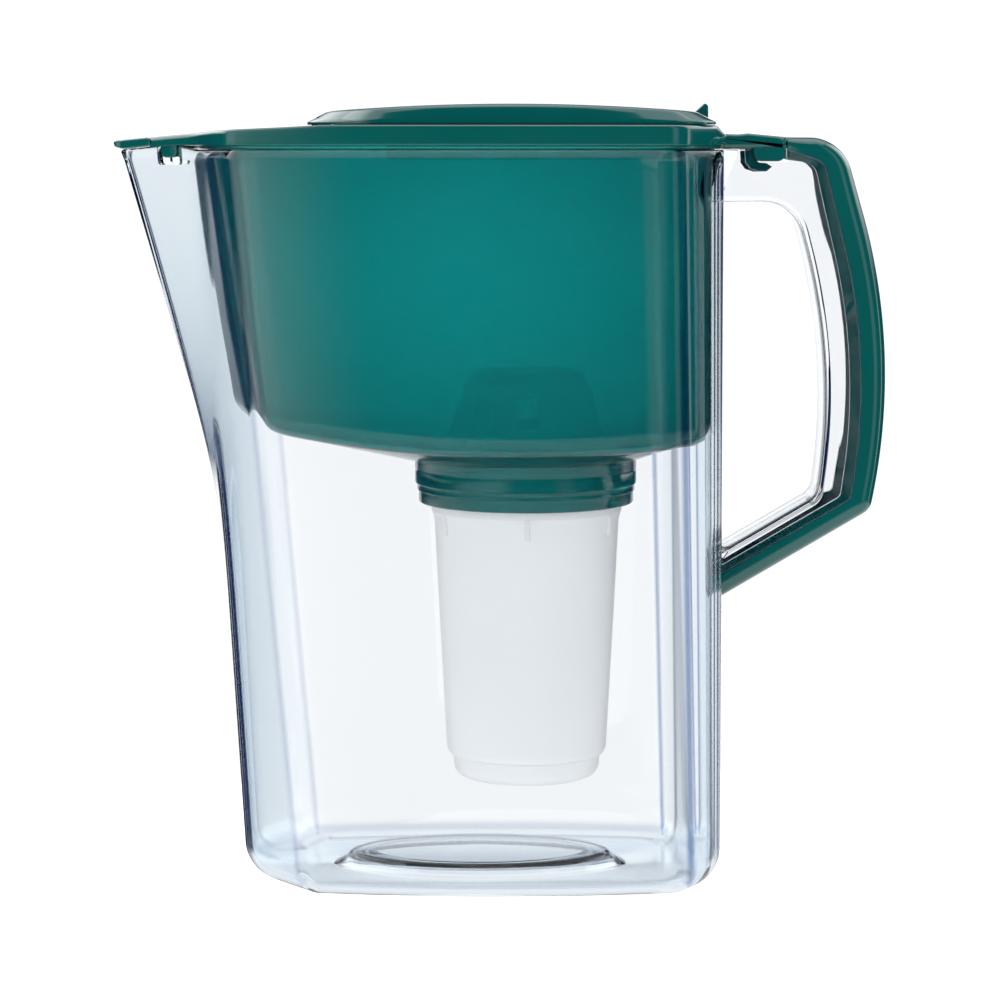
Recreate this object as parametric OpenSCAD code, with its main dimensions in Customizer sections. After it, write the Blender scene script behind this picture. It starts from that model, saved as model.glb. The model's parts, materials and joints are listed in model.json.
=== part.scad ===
// Water filter pitcher: a clear jug with a spout and a handle, a green reservoir that hangs
// in its upper half, a filter cartridge in the reservoir's socket, and a lid with a flip lid
// and a spout flap. Millimetres, +Z up, spout towards -X, handle towards +X.

/* [Jug] */
// Height of the jug's rim above the table
jug_h = 251.2; // [240:1:262]
// From the handle's wall to the near edge of the spout's root, at the rim
rim_l = 179; // [172:1:186]
// The same length at the table
base_l = 164.2; // [158:1:170]
// From the handle's wall to the left edge of each side panel, at the rim
rim_panel_l = 164.6; // [158:1:168]
// The same length at the table
base_panel_l = 142.2; // [136:1:150]
// From the handle's wall to the right edge of each side panel, at the rim
rim_corner_l = 16.5; // [14:0.5:20]
// The same length at the table
base_corner_l = 11.5; // [9:0.5:14]
// Width over the side panels' edges, at the rim
rim_w = 102; // [94:1:110]
// The same width at the table
base_w = 92; // [86:1:98]
// How far each side panel bows out
panel_bow = 6; // [2:0.5:8]
// Thickness of the jug's wall and floor
wall = 2.5; // [1.8:0.1:3]
// Rounding of the jug's bottom edge
base_r = 13; // [9:0.5:16]
// Length of the push-up in the jug's floor
kick_l = 102; // [80:1:108]
// Width of that push-up
kick_w = 62; // [44:1:66]
// Height of that push-up
kick_h = 5; // [3:0.5:7]

/* [Spout] */
// Height at which the spout starts to grow out of the wall
spout_z = 95; // [85:1:110]
// Height over which it eases out
spout_ease = 75; // [60:1:85]
// How far it leans out for each millimetre of height above that
spout_lean = 0.225; // [0.18:0.005:0.25]
// Width of the spout at its root, at the rim
spout_w = 60; // [50:1:66]
// Width of the spout's blunt tip
spout_tip_w = 10; // [8:0.5:14]

/* [Handle] */
// How far the handle stands out from the jug's wall
handle_reach = 56.9; // [50:0.5:62]
// Width of the handle
handle_w = 28.4; // [24:0.5:32]
// Clear depth of the finger gap
grip_gap = 35.7; // [32:0.5:38]
// Height of the finger gap's roof
grip_top_z = 233.5; // [228:0.5:236]
// Height at which the handle stands out furthest
belly_z = 165; // [158:1:172]
// Radius of the handle's long curve
belly_r = 208; // [190:1:230]
// Height of the finger gap's lowest point, at the jug's wall
arm_z = 112.8; // [106:0.5:118]
// Slope of the lower arm, in degrees
arm_slope = 30.5; // [26:0.5:33]
// Thickness of the clear channel's walls
channel_t = 2; // [1.6:0.1:2.4]
// Thickness of the handle cover's shell
cover_t = 2.2; // [1.6:0.1:2.6]

/* [Reservoir] */
// Gap between the reservoir and the jug's wall
res_gap = 0.8; // [0.5:0.1:1.5]
// Thickness of the reservoir's wall
res_wall = 2.2; // [1.6:0.1:2.6]
// Thickness of the flange that lies on the jug's rim
flange_t = 1.5; // [1.2:0.1:2]
// Height of the reservoir's lowest edge
res_floor_z = 148.5; // [146:0.5:156]
// How much the reservoir's end wall draws in from rim to floor, at the spout
res_draw = 6.5; // [3:0.5:10]
// Rounding of the reservoir's bottom edge
res_r = 8; // [5:0.5:10]
// Height of the socket's lower end
socket_z = 129.8; // [126:0.2:133]
// Outside radius of the socket at its lower end
socket_r = 37.3; // [36.8:0.1:38.2]

/* [Cartridge] */
// Place of the cartridge's axis along the jug, from the handle's wall
cartridge_l = 66.3; // [58:0.1:74]
// Height of the cartridge's bottom above the table
cartridge_z = 34; // [28:0.5:40]
// Radius of the cup under the socket
cup_r = 31.9; // [31:0.1:32.2]
// Radius of the cup at its lower end
cup_base_r = 27.7; // [26.5:0.1:29]
// Thickness of the cup's wall
cup_t = 1.8; // [1.4:0.1:2.2]
// Height of the base cap that shows under the cup
cap_h = 8; // [6:0.5:10]
// Radius of the base cap
cap_r = 25.3; // [24:0.1:25.6]
// Radius of the strainer cage at its foot
cage_r = 29.3; // [28:0.1:29.6]
// Radius of the strainer cage under its top
cage_top_r = 20; // [17:0.5:23]
// Height of the strainer cage above the cup
cage_h = 33; // [30:0.5:38]
// Diameter of the seal ring's cord
seal_d = 2.4; // [2:0.1:2.6]

/* [Lid] */
// Height of the lid's edge
lid_t = 6.2; // [5:0.1:8]
// How far the lid overhangs the jug
lid_lip = 0.8; // [0.4:0.1:1.2]
// Height of the lid at the spout
lid_nose_t = 2.2; // [1.8:0.1:2.8]
// Depth of the skirt that centres the lid in the reservoir
skirt_h = 5.5; // [4:0.5:8]
// Length of the fill opening
fill_l = 128; // [118:1:130]
// Width of the fill opening
fill_w = 82; // [76:1:84]
// Length of the spout flap
flap_l = 13.4; // [11:0.2:15]
// Length of the lid's tail over the handle
tail_l = 21.9; // [18:0.1:25]

/* [Flip lid] */
// Length of the flip lid
flip_l = 137; // [134:0.5:138]
// Width of the flip lid
flip_w = 92; // [88:0.5:94]
// Height of the flip lid above the lid
flip_h = 7.5; // [6.5:0.1:9]
// Thickness of the flip lid's shell
flip_t = 2; // [1.6:0.1:2.4]
// Height of the thumb tab
tab_h = 5; // [4:0.2:6]
// Width of the thumb tab
tab_w = 14; // [10:0.5:18]

/* [Fits] */
// Radial clearance of a pin that turns
pin_clear = 0.05; // [0.03:0.01:0.08]
// Gap between pieces that lift off each other
seat_gap = 0.2; // [0.15:0.05:0.3]

/* [Hidden] */
$fn = 96;

// The handle's wall stands where the whole length is centred on the origin.
end_x = (rim_l + spout_lean * (jug_h - spout_z - spout_ease / 2) + lid_lip + 1.4 - handle_reach) / 2;
cart_x = end_x - cartridge_l;
tip_x = end_x - rim_l - spout_lean * (jug_h - spout_z - spout_ease / 2);

// Heights of what lies on the rim, one on the other
flange_z = jug_h + seat_gap;
lid_z = flange_z + flange_t + seat_gap;
lid_top_z = lid_z + lid_t;
flip_z = lid_top_z + seat_gap;

// Shared sizes of the plan's smaller features
nose_bow = 2;
end_w = 52;
end_bow = 1.5;
base_root_w = 40;

// ---------- Helpers ----------
function lerp(a, b, t) = a + (b - a) * t;
function unit(v) = v / norm(v);

// Points from p towards q, bowed out to the right by bow, without q itself
function bowed(p, q, n, bow) =
    let(d = unit(q - p))
    [for (i = [0 : n - 1]) let(t = i / n) lerp(p, q, t) + [d.y, -d.x] * bow * 4 * t * (1 - t)];

// Arc of radius r that rounds the corner b between a and c
function fillet(a, b, c, r, n) =
    let(u = unit(a - b), v = unit(c - b), corner = acos(u * v), turn = 180 - corner,
        centre = b + unit(u + v) * r / sin(corner / 2), reach = r / tan(corner / 2),
        p = b + u * reach - centre, q = b + v * reach - centre)
    [for (i = [0 : n]) let(t = i / n) centre + (p * sin((1 - t) * turn) + q * sin(t * turn)) / sin(turn)];

function arc(c, r, a0, a1, n) = [for (i = [0 : n]) let(a = lerp(a0, a1, i / n)) c + r * [cos(a), sin(a)]];

// A closed plan from its near half, which starts and ends on the centre line
function mirrored(half) =
    concat(half, [for (i = [len(half) - 2 : -1 : 1]) [half[i].x, -half[i].y]]);

// A closed plan moved inwards by d
function inset(plan, d) =
    let(n = len(plan))
    [for (i = [0 : n - 1])
        let(t = unit(plan[(i + 1) % n] - plan[(i + n - 1) % n])) plan[i] + d * [-t.y, t.x]];

// An oval with one point in the direction of each point of a plan, seen from the centre c
function oval_like(plan, c, a, b) =
    [for (p = plan) let(u = atan2((p.y - c.y) / b, (p.x - c.x) / a)) c + [a * cos(u), b * sin(u)]];

function reversed(list) = [for (i = [len(list) - 1 : -1 : 0]) list[i]];
function at_z(plan, z) = [for (p = plan) [p.x, p.y, z]];
function flat(lists) = [for (l = lists) for (p = l) p];

// Skin through rings of n points each. It closes into a loop, or its two ends are filled by
// the convex faces in caps, which list points of one ring; without caps one face fills an end.
module skin(rings, looped = false, caps = []) {
    n = len(rings[0]);
    m = len(rings);
    last = looped ? m - 1 : m - 2;
    sides = [for (j = [0 : last]) for (i = [0 : n - 1])
        let(a = j * n + i, b = j * n + (i + 1) % n, k = ((j + 1) % m) * n, c = k + i, d = k + (i + 1) % n)
        each [[a, c, b], [b, c, d]]];
    fills = len(caps) > 0 ? caps : [[for (i = [0 : n - 1]) i]];
    ends = looped ? [] : concat(fills, [for (f = fills) [for (i = reversed(f)) (m - 1) * n + i]]);
    polyhedron(flat(rings), concat(sides, ends), convexity = 10);
}

// Extrusion of an X-Z outline across the width w
module across(outline, w) rotate([90, 0, 0]) linear_extrude(w, center = true) polygon(outline);

module rod(x, z, r, w) translate([x, w / 2, z]) rotate([90, 0, 0]) cylinder(r = r, h = w);

// ---------- Jug ----------
// How far the spout stands out of the body at height z
function spout_out(z) =
    z < spout_z ? 0
    : z < spout_z + spout_ease ? spout_lean * pow(z - spout_z, 2) / (2 * spout_ease)
    : spout_lean * (z - spout_z - spout_ease / 2);

// Near half of the body's plan at height z, with its nose at nose_x and the spout's root at root_x
function body_half(z, nose_x, root_x) =
    let(t = z / jug_h,
        root = [root_x + nose_bow, -lerp(base_root_w, spout_w, t) / 2],
        left = [end_x - lerp(base_panel_l, rim_panel_l, t), -lerp(base_w, rim_w, t) / 2],
        right = [end_x - lerp(base_corner_l, rim_corner_l, t), -lerp(base_w, rim_w, t) / 2],
        wall_edge = [end_x, -end_w / 2],
        blunt = [nose_x + nose_bow / 4, -spout_tip_w / 2])
    concat([[nose_x, 0]], bowed(blunt, root, 4, 0), bowed(root, left, 4, nose_bow),
        bowed(left, right, 12, panel_bow), bowed(right, wall_edge, 4, end_bow),
        [wall_edge, [end_x, 0]]);

function body_nose(z) = end_x - lerp(base_l, rim_l, z / jug_h);
function jug_plan(z) = mirrored(body_half(z, body_nose(z) - spout_out(z), body_nose(z)));

// How far a rounded bottom edge of radius r draws in at height h above its lowest point
function edge_draw(h, r) = h >= r ? 0 : r - sqrt(r * r - pow(r - h, 2));

round_steps = [0, 0.06, 0.2, 0.42, 0.7];
body_steps = [0.12, 0.24, 0.36, 0.42, 0.48, 0.54, 0.6, 0.66, 0.74, 0.86];
kick_c = [end_x - base_l / 2 - 0.4, 0];
kick_slope = 8;

// Along the spout the rim rises from its tip to the top of the reservoir's flange.
rise_x = body_nose(jug_h) - 6;
rise_end_x = body_nose(jug_h) + nose_bow;
function spout_rim(x) =
    lerp(jug_h, flange_z + flange_t, max(0, min(1, (x - tip_x) / (rise_x - tip_x))));
function rim(x) =
    min(spout_rim(x), lerp(flange_z + flange_t, jug_h, min(1, (x - rise_x) / (rise_end_x - rise_x))));

// Outer or inner skin of the jug from its floor to the rim, drawn in by t
function jug_skin(t) =
    let(r = base_r - t)
    concat(
        [for (s = round_steps) let(z = t + s * r) at_z(inset(jug_plan(z), t + edge_draw(s * r, r)), z)],
        [for (z = concat([base_r], jug_h * body_steps)) at_z(inset(jug_plan(z), t), z)],
        [[for (p = inset(jug_plan(jug_h), t)) [p.x, p.y, rim(p.x)]]]);

// The push-up in the floor, seen from below or from inside, raised by t
function kick_rings(t) =
    let(foot = jug_plan(0))
    [at_z(oval_like(foot, kick_c, kick_l / 2 - kick_slope, kick_w / 2 - kick_slope), kick_h + t),
     at_z(oval_like(foot, kick_c, kick_l / 2, kick_w / 2), t)];

// The spout's wall carries a notch on each side for the lid's tongues.
tongue_x = tip_x + 18.2;
wall_dir = unit([body_nose(jug_h) + nose_bow, -spout_w / 2] - [tip_x + nose_bow / 4, -spout_tip_w / 2]);
tongue_l = 8;
tongue_h = 4.6;
notch_play = 1.5;
module on_spout_wall(side, depth_in)
    let(t = (tongue_x - tip_x - nose_bow / 4) / wall_dir.x,
        p = [tip_x + nose_bow / 4, -spout_tip_w / 2] + wall_dir * t)
        mirror([0, side, 0]) translate([p.x, p.y, 0])
            rotate([0, 0, atan2(wall_dir.y, wall_dir.x)]) translate([0, depth_in, 0]) children();

module jug() {
    color([0.86, 0.92, 0.96, 0.35])
    difference() {
        skin(concat(kick_rings(0), jug_skin(0), reversed(jug_skin(wall)), reversed(kick_rings(wall))));
        for (side = [0, 1])
            on_spout_wall(side, wall / 2)
                translate([-tongue_l / 2 - notch_play, -wall * 1.5, lid_z - tongue_h - 2.4])
                    cube([tongue_l + 2 * notch_play, wall * 3, tongue_h + 4]);
    }
}

// ---------- Handle ----------
belly_x = end_x + grip_gap;
handle_x = end_x + handle_reach;
cover_x = end_x + tail_l + seat_gap;
frame_z = jug_h;
tail_z = frame_z + seat_gap;

// Outline of the handle from the top at [from_x, from_z], down its belly, to the wall.
// side_d and arm_d say how far it lies outside the finger gap at the belly and along the arm.
function handle_line(side_d, arm_d, from, top_z, top_r, elbow_r, up, down) =
    let(c = [belly_x + side_d - belly_r, belly_z + side_d / 3],
        u = c + belly_r * [cos(up), sin(up)],
        l = c + belly_r * [cos(down), -sin(down)],
        m = tan(arm_slope),
        foot_z = arm_z - arm_d,
        top = u + [-sin(up), cos(up)] * (top_z - u.y) / cos(up),
        drop = (l.y - foot_z - m * (l.x - end_x)) / (cos(down) - m * sin(down)),
        elbow = l - [sin(down), cos(down)] * drop,
        foot = [end_x, foot_z])
    concat([from], fillet(from, top, u, top_r, 6), arc(c, belly_r, up, -down, 10),
        fillet(l, elbow, foot, elbow_r, 5), [lerp(elbow, foot, 0.5), foot]);

cover_d = 12.2;
web_d = 8.4;
cover_arm_d = 7.3;
web_arm_d = 4.4;
outer_d = handle_reach - grip_gap;
outer_arm_d = 15.9;
outer_top_z = lid_z + 2.4;
grip_line = handle_line(0, 0, [end_x, grip_top_z], grip_top_z, 14, 7, 15, 7);
channel_line = handle_line(channel_t, channel_t / cos(arm_slope), [end_x, grip_top_z + channel_t],
    grip_top_z + channel_t, 14 + channel_t, 7, 15, 7);
cover_line = handle_line(cover_d, cover_arm_d, [cover_x, frame_z], frame_z - 4, 6, 3, 14, 9);
web_line = handle_line(web_d, web_arm_d, [cover_x, frame_z - 3], frame_z - 5.2, 5, 3, 13, 8);
outer_line = handle_line(outer_d, outer_arm_d, [cover_x, outer_top_z], outer_top_z, 15, 7, 16, 11);

frame_outline = concat([[end_x, frame_z]], cover_line, reversed(grip_line));
beyond_cover =
    handle_line(cover_d + 1, cover_arm_d + 1, [cover_x + 1, frame_z + 1], frame_z - 3, 6, 3, 14, 9);
channel_outline = concat([[end_x + 3 * channel_t, frame_z + 1]], beyond_cover, reversed(channel_line));

hook_slot_x = end_x + 7.6;
tail_tongue_x = end_x + 10.6;
tail_tongue_l = 10.8;
tail_tongue_h = 4.2;

module handle_frame() {
    color([0.86, 0.92, 0.96, 0.35])
    difference() {
        across(frame_outline, handle_w);
        across(channel_outline, handle_w - 2 * channel_t);
        translate([tail_tongue_x - 1, -handle_w / 2 - 1, frame_z - tail_tongue_h])
            cube([tail_tongue_l + 2, handle_w + 2, tail_tongue_h + 1]);
    }
}

// Cross-section of the cover at one station: the web point w, the channel's edge c, the outside o
function cover_section(w, c, o) =
    let(lip = handle_w / 2 - channel_t - 0.1, half = handle_w / 2,
        deep = lerp(c, o, 1 - cover_t / max(norm(o - c), cover_t + 1)),
        pts = [[w, -lip], [c, -lip], [c, -half], [lerp(c, o, 0.5), -half], [lerp(c, o, 0.8), -half * 0.88],
            [lerp(c, o, 0.96), -half * 0.66], [o, -half * 0.36], [o, half * 0.36],
            [lerp(c, o, 0.96), half * 0.66], [lerp(c, o, 0.8), half * 0.88], [lerp(c, o, 0.5), half],
            [c, half], [c, lip], [w, lip], [w, lip - cover_t], [deep, half * 0.6],
            [deep, -half * 0.6], [w, -lip + cover_t]])
    [for (p = pts) [p[0].x, p[1], p[0].y]];

// Convex faces that fill the section
cover_caps = [[0, 1, 16, 17], [1, 2, 3], [1, 3, 16], [3, 4, 5, 16], [5, 6, 16], [6, 7, 15, 16],
    [7, 8, 15], [8, 9, 10, 15], [10, 12, 15], [10, 11, 12], [12, 13, 14, 15]];

module handle_cover()
    color([0.0, 0.33, 0.3])
    skin([for (i = [len(cover_line) - 1 : -1 : 0])
        cover_section(web_line[i], cover_line[i], outer_line[i])], caps = cover_caps);

// ---------- Reservoir ----------
res_inset = wall + res_gap;
socket_wall_r = socket_r + 1.3;
bore_r = cup_r + 1.6;
seat_r = bore_r + 3;
socket_sink = 4;
socket_top_z = res_floor_z - socket_sink;
seat_h = 11.4;
seat_z = socket_z + seat_h;

// The reservoir's end at the spout stands back from the spout's root and comes to a blunt beak.
res_setback = 1.2;
res_beak = 4;
function res_plan(z) =
    let(root = body_nose(z) + res_setback + res_draw * (jug_h - z) / (jug_h - res_floor_z))
    mirrored(body_half(z, root - res_beak, root));

// The floor's edge rises away from the socket.
res_sag = 0.0012;
function res_rise(x, z) = res_sag * pow(x - cart_x, 2) * max(0, 1 - (z - res_floor_z) / 45);
function res_ring(z, d) = [for (p = inset(res_plan(z), d)) [p.x, p.y, z + res_rise(p.x, z)]];
function socket_ring(r, z) = at_z(oval_like(res_plan(res_floor_z), [cart_x, 0], r, r), z);

res_steps = [0.12, 0.24, 0.36, 0.5, 0.7, 0.85];
function res_skin(t) =
    let(r = res_r - t * 0.8, z0 = res_floor_z + t)
    concat(
        [for (s = round_steps) res_ring(z0 + s * r, res_inset + t + edge_draw(s * r, r))],
        [for (z = concat([z0 + r], [for (s = res_steps) lerp(z0 + r, jug_h, s)]))
            res_ring(z, res_inset + t)]);

module reservoir() {
    top_plan = res_plan(jug_h);
    flange_zt = flange_z + flange_t;
    flange_inset = 0.6;
    color([0.0, 0.5, 0.48, 0.85]) union() {
        skin(concat(
            [socket_ring(seat_r + 0.8, socket_top_z)], res_skin(0),
            [at_z(inset(top_plan, res_inset), flange_z), at_z(inset(top_plan, flange_inset), flange_z),
                at_z(inset(top_plan, flange_inset), flange_zt),
                at_z(inset(top_plan, res_inset + res_wall), flange_zt)],
            reversed(res_skin(res_wall)), [socket_ring(seat_r + 0.8, socket_top_z + res_wall)]),
            looped = true);
        translate([cart_x, 0, 0]) rotate_extrude() polygon([
            [bore_r, socket_z], [socket_r, socket_z], [socket_r, socket_z + 4.3],
            [socket_r + 0.5, socket_z + 4.3], [socket_r + 0.5, socket_z + 6.7],
            [socket_wall_r, socket_z + 6.7], [socket_wall_r, socket_top_z + res_wall],
            [seat_r, socket_top_z + res_wall], [seat_r, seat_z], [bore_r, seat_z]]);
    }
}

// ---------- Cartridge ----------
cup_z0 = cartridge_z + cap_h;
cup_z1 = seat_z + seat_gap + 1.8;
flare_z = socket_z - 3;
flare_r = bore_r - 0.6;
spigot_h = 6;
spigot_t = 1.6;
seal_z = socket_z + 6;
seal_groove_r = flare_r + 0.45 - seal_d;
cup_in_r = seal_groove_r - 1.2;
mesh_t = 0.8;
felt_t = 2.4;
bed_z0 = cup_z0 + spigot_h + mesh_t + felt_t;
bed_z1 = flare_z + 2;
cup_rib_h = 7;
fill_gap = 0.1;

module on_cartridge() translate([cart_x, 0, 0]) children();

// Inside radius of the cup's tapered wall at height z, below its straight neck
neck_z = flare_z - 3;
function cup_in(z) = lerp(cup_base_r - cup_t, cup_in_r, (z - cup_z0) / (neck_z - cup_z0));

module disc(z, t, r) on_cartridge() translate([0, 0, z]) cylinder(r = r, h = t);

module cartridge_cup() {
    color([0.93, 0.94, 0.95]) on_cartridge() union() {
        rotate_extrude() polygon([
            [cap_r, cup_z0], [cup_base_r - 1.5, cup_z0], [cup_base_r, cup_z0 + 2.5], [cup_r, neck_z],
            [flare_r, flare_z], [flare_r, seal_z - seal_d / 2], [seal_groove_r, seal_z - seal_d / 2],
            [seal_groove_r, seal_z + seal_d / 2], [flare_r, seal_z + seal_d / 2],
            [flare_r, seat_z + seat_gap],
            [seat_r - 0.4, seat_z + seat_gap], [seat_r - 0.4, cup_z1], [cup_in_r, cup_z1],
            [cup_in_r, neck_z], [cup_in(cup_z0 + 4), cup_z0 + 4],
            [cap_r, cup_z0 + 4]]);
        for (a = [30 : 60 : 330])
            rotate([0, 0, a]) translate([cup_r - 1, -0.8, flare_z - cup_rib_h])
                cube([flare_r - cup_r + 1, 1.6, cup_rib_h + 1]);
    }
}

module cartridge_base_cap() {
    slots = 12;
    color([0.93, 0.94, 0.95]) on_cartridge() difference() {
        rotate_extrude() polygon([
            [0, cartridge_z], [cap_r - 4, cartridge_z], [cap_r - 1.2, cartridge_z + 1.2],
            [cap_r, cartridge_z + 4], [cap_r, cup_z0 + spigot_h],
            [cap_r - spigot_t, cup_z0 + spigot_h], [cap_r - spigot_t, cartridge_z + 4],
            [cap_r - 4, cartridge_z + 2], [0, cartridge_z + 2]]);
        for (i = [0 : slots - 1]) rotate([0, 0, i * 360 / slots])
            translate([cap_r * 0.35, -0.8, cartridge_z - 1]) cube([cap_r * 0.4, 1.6, 4]);
    }
}

module cartridge_seal()
    color([0.2, 0.22, 0.24]) on_cartridge() translate([0, 0, seal_z])
        rotate_extrude() translate([seal_groove_r + seal_d / 2, 0]) circle(d = seal_d, $fn = 32);

module lower_mesh() color([0.85, 0.87, 0.88]) disc(cup_z0 + spigot_h, mesh_t, cap_r);
module lower_felt() color([0.95, 0.95, 0.93]) disc(cup_z0 + spigot_h + mesh_t, felt_t, cap_r);

module sorbent_bed()
    color([0.25, 0.24, 0.22]) on_cartridge() rotate_extrude()
        polygon([[0, bed_z0], [cup_in(bed_z0) - fill_gap, bed_z0], [cup_in_r - fill_gap, neck_z],
            [cup_in_r - fill_gap, bed_z1], [0, bed_z1]]);

module upper_felt() color([0.95, 0.95, 0.93]) disc(bed_z1, felt_t, cup_in_r - fill_gap);

cage_z = cup_z1;
cage_t = 1.5;
cage_spigot_z = bed_z1 + felt_t + mesh_t;
module upper_mesh() color([0.85, 0.87, 0.88]) disc(bed_z1 + felt_t, mesh_t, cup_in_r - fill_gap);

// Height of each row of windows above the cup: foot, height, and how deep the cutter reaches
window_rows = [[0.7, 7.3], [13.4, 10.4], [28.4, 3.6]];
window_w = 7.2;
window_pitch = 20.5;

module cartridge_cage() {
    top = cage_z + cage_h;
    color([0.9, 0.93, 0.94]) on_cartridge() difference() {
        rotate_extrude() polygon(concat(
            [[0, top], [cage_top_r * 0.45, top - 0.2]],
            fillet([cage_top_r * 0.45, top - 0.2], [cage_top_r, top - 1.2], [cage_r, cage_z + 1.6], 6, 5),
            [[cage_r, cage_z + 1.6], [seat_r - 1.6, cage_z + 1.6], [seat_r - 1.6, cage_z],
             [cup_in_r - 0.1, cage_z], [cup_in_r - 0.1, cage_spigot_z], [cup_in_r - cage_t, cage_spigot_z],
             [cage_r - cage_t * 1.1, cage_z + 1.6]],
            fillet([cage_r - cage_t * 1.1, cage_z + 1.6], [cage_top_r - cage_t * 1.1, top - 1.2 - cage_t],
                [0, top - cage_t - 0.2], 4.5, 5),
            [[0, top - cage_t - 0.2]]));
        for (half = [0, 180]) for (i = [0 : 2]) for (row = window_rows)
            rotate([0, 0, half - 90 - i * window_pitch])
                translate([cage_top_r * 0.55, -window_w / 2, cage_z + row[0]])
                    cube([cage_r, window_w, row[1]]);
    }
}

// ---------- Lid ----------
seam_x = tip_x - 2.2 + flap_l;
tail_w = handle_w;
tail_x = end_x + tail_l;
fill_x = end_x - 13.5 - fill_l;
hinge_x = fill_x + 5.5;
hinge_z = lid_top_z - 1.1;
pin_r = 1.3;
barrel_r = 2.6;
lug_r = 2.3;
lug_w = 7;
lug_y = 22;
hinge_gap = 0.4;
fill_nose_r = 21;
swing_w = 76;
swing_depth = 4.2;
skirt_gap = 1;
skirt_t = 1.5;
skirt_cut = 14;
skirt_open_l = 66;

// The flap's edge is a barrel as thick as the lid is there. It turns in a hollow of the lid.
flap_gap = 0.3;
flap_hinge_x = seam_x - 0.9;
flap_top_z = lid_z + lid_nose_t;
flap_under_z = spout_rim(flap_hinge_x) + seat_gap;
flap_barrel_r = (flap_top_z - flap_under_z) / 2;
flap_hinge_z = (flap_top_z + flap_under_z) / 2;
flap_pin_r = 0.6;
flap_lug_w = 8;
flap_pin_l = 18;

// Top of the lid along its length
lid_top = [[seam_x, flap_top_z], [tip_x + 25, lid_z + 3.3], [tip_x + 36, lid_z + 4.4],
    [fill_x - 1, lid_top_z - 0.6], [fill_x + 8, lid_top_z], [end_x - 3.2, lid_top_z],
    [end_x - 1, lid_z + 4], [end_x + 0.6, lid_z + 3.4], [end_x + 6, lid_z + 3.2],
    [end_x + 8.4, lid_z + 3.6], [tail_x, lid_z + 2.3]];
lid_underside = [[tail_x, tail_z], [end_x + seat_gap, tail_z], [end_x + seat_gap, lid_z], [rise_x, lid_z],
    [seam_x, spout_rim(seam_x) + seat_gap]];
lid_side = concat(lid_top, lid_underside);

// Points between p and q, without the two themselves
function between(p, q, n) = [for (i = [1 : n - 1]) lerp(p, q, i / n)];

// Rectangle with corners of radius r at its left end and s at its right end
function oblong(x0, x1, w, r, s) =
    let(h = w / 2)
    concat(arc([x0 + r, r - h], r, 180, 270, 8), between([x0 + r, -h], [x1 - s, -h], 8),
        arc([x1 - s, s - h], s, 270, 360, 6), between([x1, s - h], [x1, h - s], 4),
        arc([x1 - s, h - s], s, 0, 90, 6), between([x1 - s, h], [x0 + r, h], 8),
        arc([x0 + r, h - r], r, 90, 180, 8), between([x0, h - r], [x0, r - h], 4));

// A tongue with a rounded end that hangs to depth h and is l long
tongue_r = 3;
tongue_draft = 10;
module tongue(l, t, h, up)
    let(side = l / 2, round_x = l / 2 - tongue_r, round_z = tongue_r - h)
    rotate([90, 0, 0]) linear_extrude(t, center = true)
        polygon(concat([[-side, up], [-side + 0.4, 0]],
            arc([-round_x, round_z], tongue_r, 180 + tongue_draft, 270, 5),
            arc([round_x, round_z], tongue_r, 270, 360 - tongue_draft, 5), [[side - 0.4, 0], [side, up]]));

// The lid's plate and tail between two places along its length
module lid_slice(x0, x1)
    intersection() {
        across(lid_side, rim_w * 2);
        translate([0, 0, tail_z - 1]) linear_extrude(lid_t + 6) intersection() {
            union() {
                polygon(inset(jug_plan(jug_h), -lid_lip));
                translate([end_x - 10, -tail_w / 2]) square([tail_l + 10, tail_w]);
            }
            translate([x0, -rim_w]) square([x1 - x0, 2 * rim_w]);
        }
    }

module lid_base() {
    color([0.0, 0.33, 0.3]) union() {
        difference() {
            lid_slice(rise_x, tail_x);
            translate([0, 0, lid_z - 1]) linear_extrude(lid_t + 2)
                polygon(oblong(fill_x, fill_x + fill_l, fill_w, fill_nose_r, 10));
            // Pocket for the corners of the flip lid's end, which swings down beside the hinge
            translate([0, 0, lid_top_z - swing_depth]) linear_extrude(lid_t)
                polygon(oblong(fill_x - 0.2, fill_x + 30, swing_w, 8, 2));
        }
        // Lugs that carry the flip lid's pin
        for (s = [-1, 1]) translate([0, s * lug_y, 0]) difference() {
            union() {
                // Each stands on an arm that passes under the swinging end of the flip lid.
                across([[fill_x - 3, lid_z - 2.6], [hinge_x + lug_r, lid_z - 2.6],
                    [hinge_x + lug_r, hinge_z], [hinge_x - 0.5, hinge_z], [hinge_x - 0.5, lid_z],
                    [fill_x, lid_z], [fill_x, lid_z + 1], [fill_x - 3, lid_z + 1]], lug_w);
                rod(hinge_x, hinge_z, lug_r, lug_w);
            }
            rod(hinge_x, hinge_z, pin_r + pin_clear, lug_w + 2);
        }
    }
}

// The part of the lid over the spout, with the lug that carries the spout flap's pin
module lid_nose() {
    color([0.0, 0.33, 0.3]) union() {
        difference() {
            lid_slice(seam_x, rise_x);
            rod(flap_hinge_x, flap_hinge_z, flap_barrel_r + flap_gap, rim_w);
        }
        difference() {
            union() {
                across([[flap_hinge_x, flap_under_z], [seam_x + 2, flap_under_z + 0.2],
                    [seam_x + 2, flap_top_z], [flap_hinge_x, flap_top_z]], flap_lug_w);
                rod(flap_hinge_x, flap_hinge_z, flap_barrel_r, flap_lug_w);
            }
            rod(flap_hinge_x, flap_hinge_z, flap_pin_r + pin_clear, flap_lug_w + 2);
        }
    }
}

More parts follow.
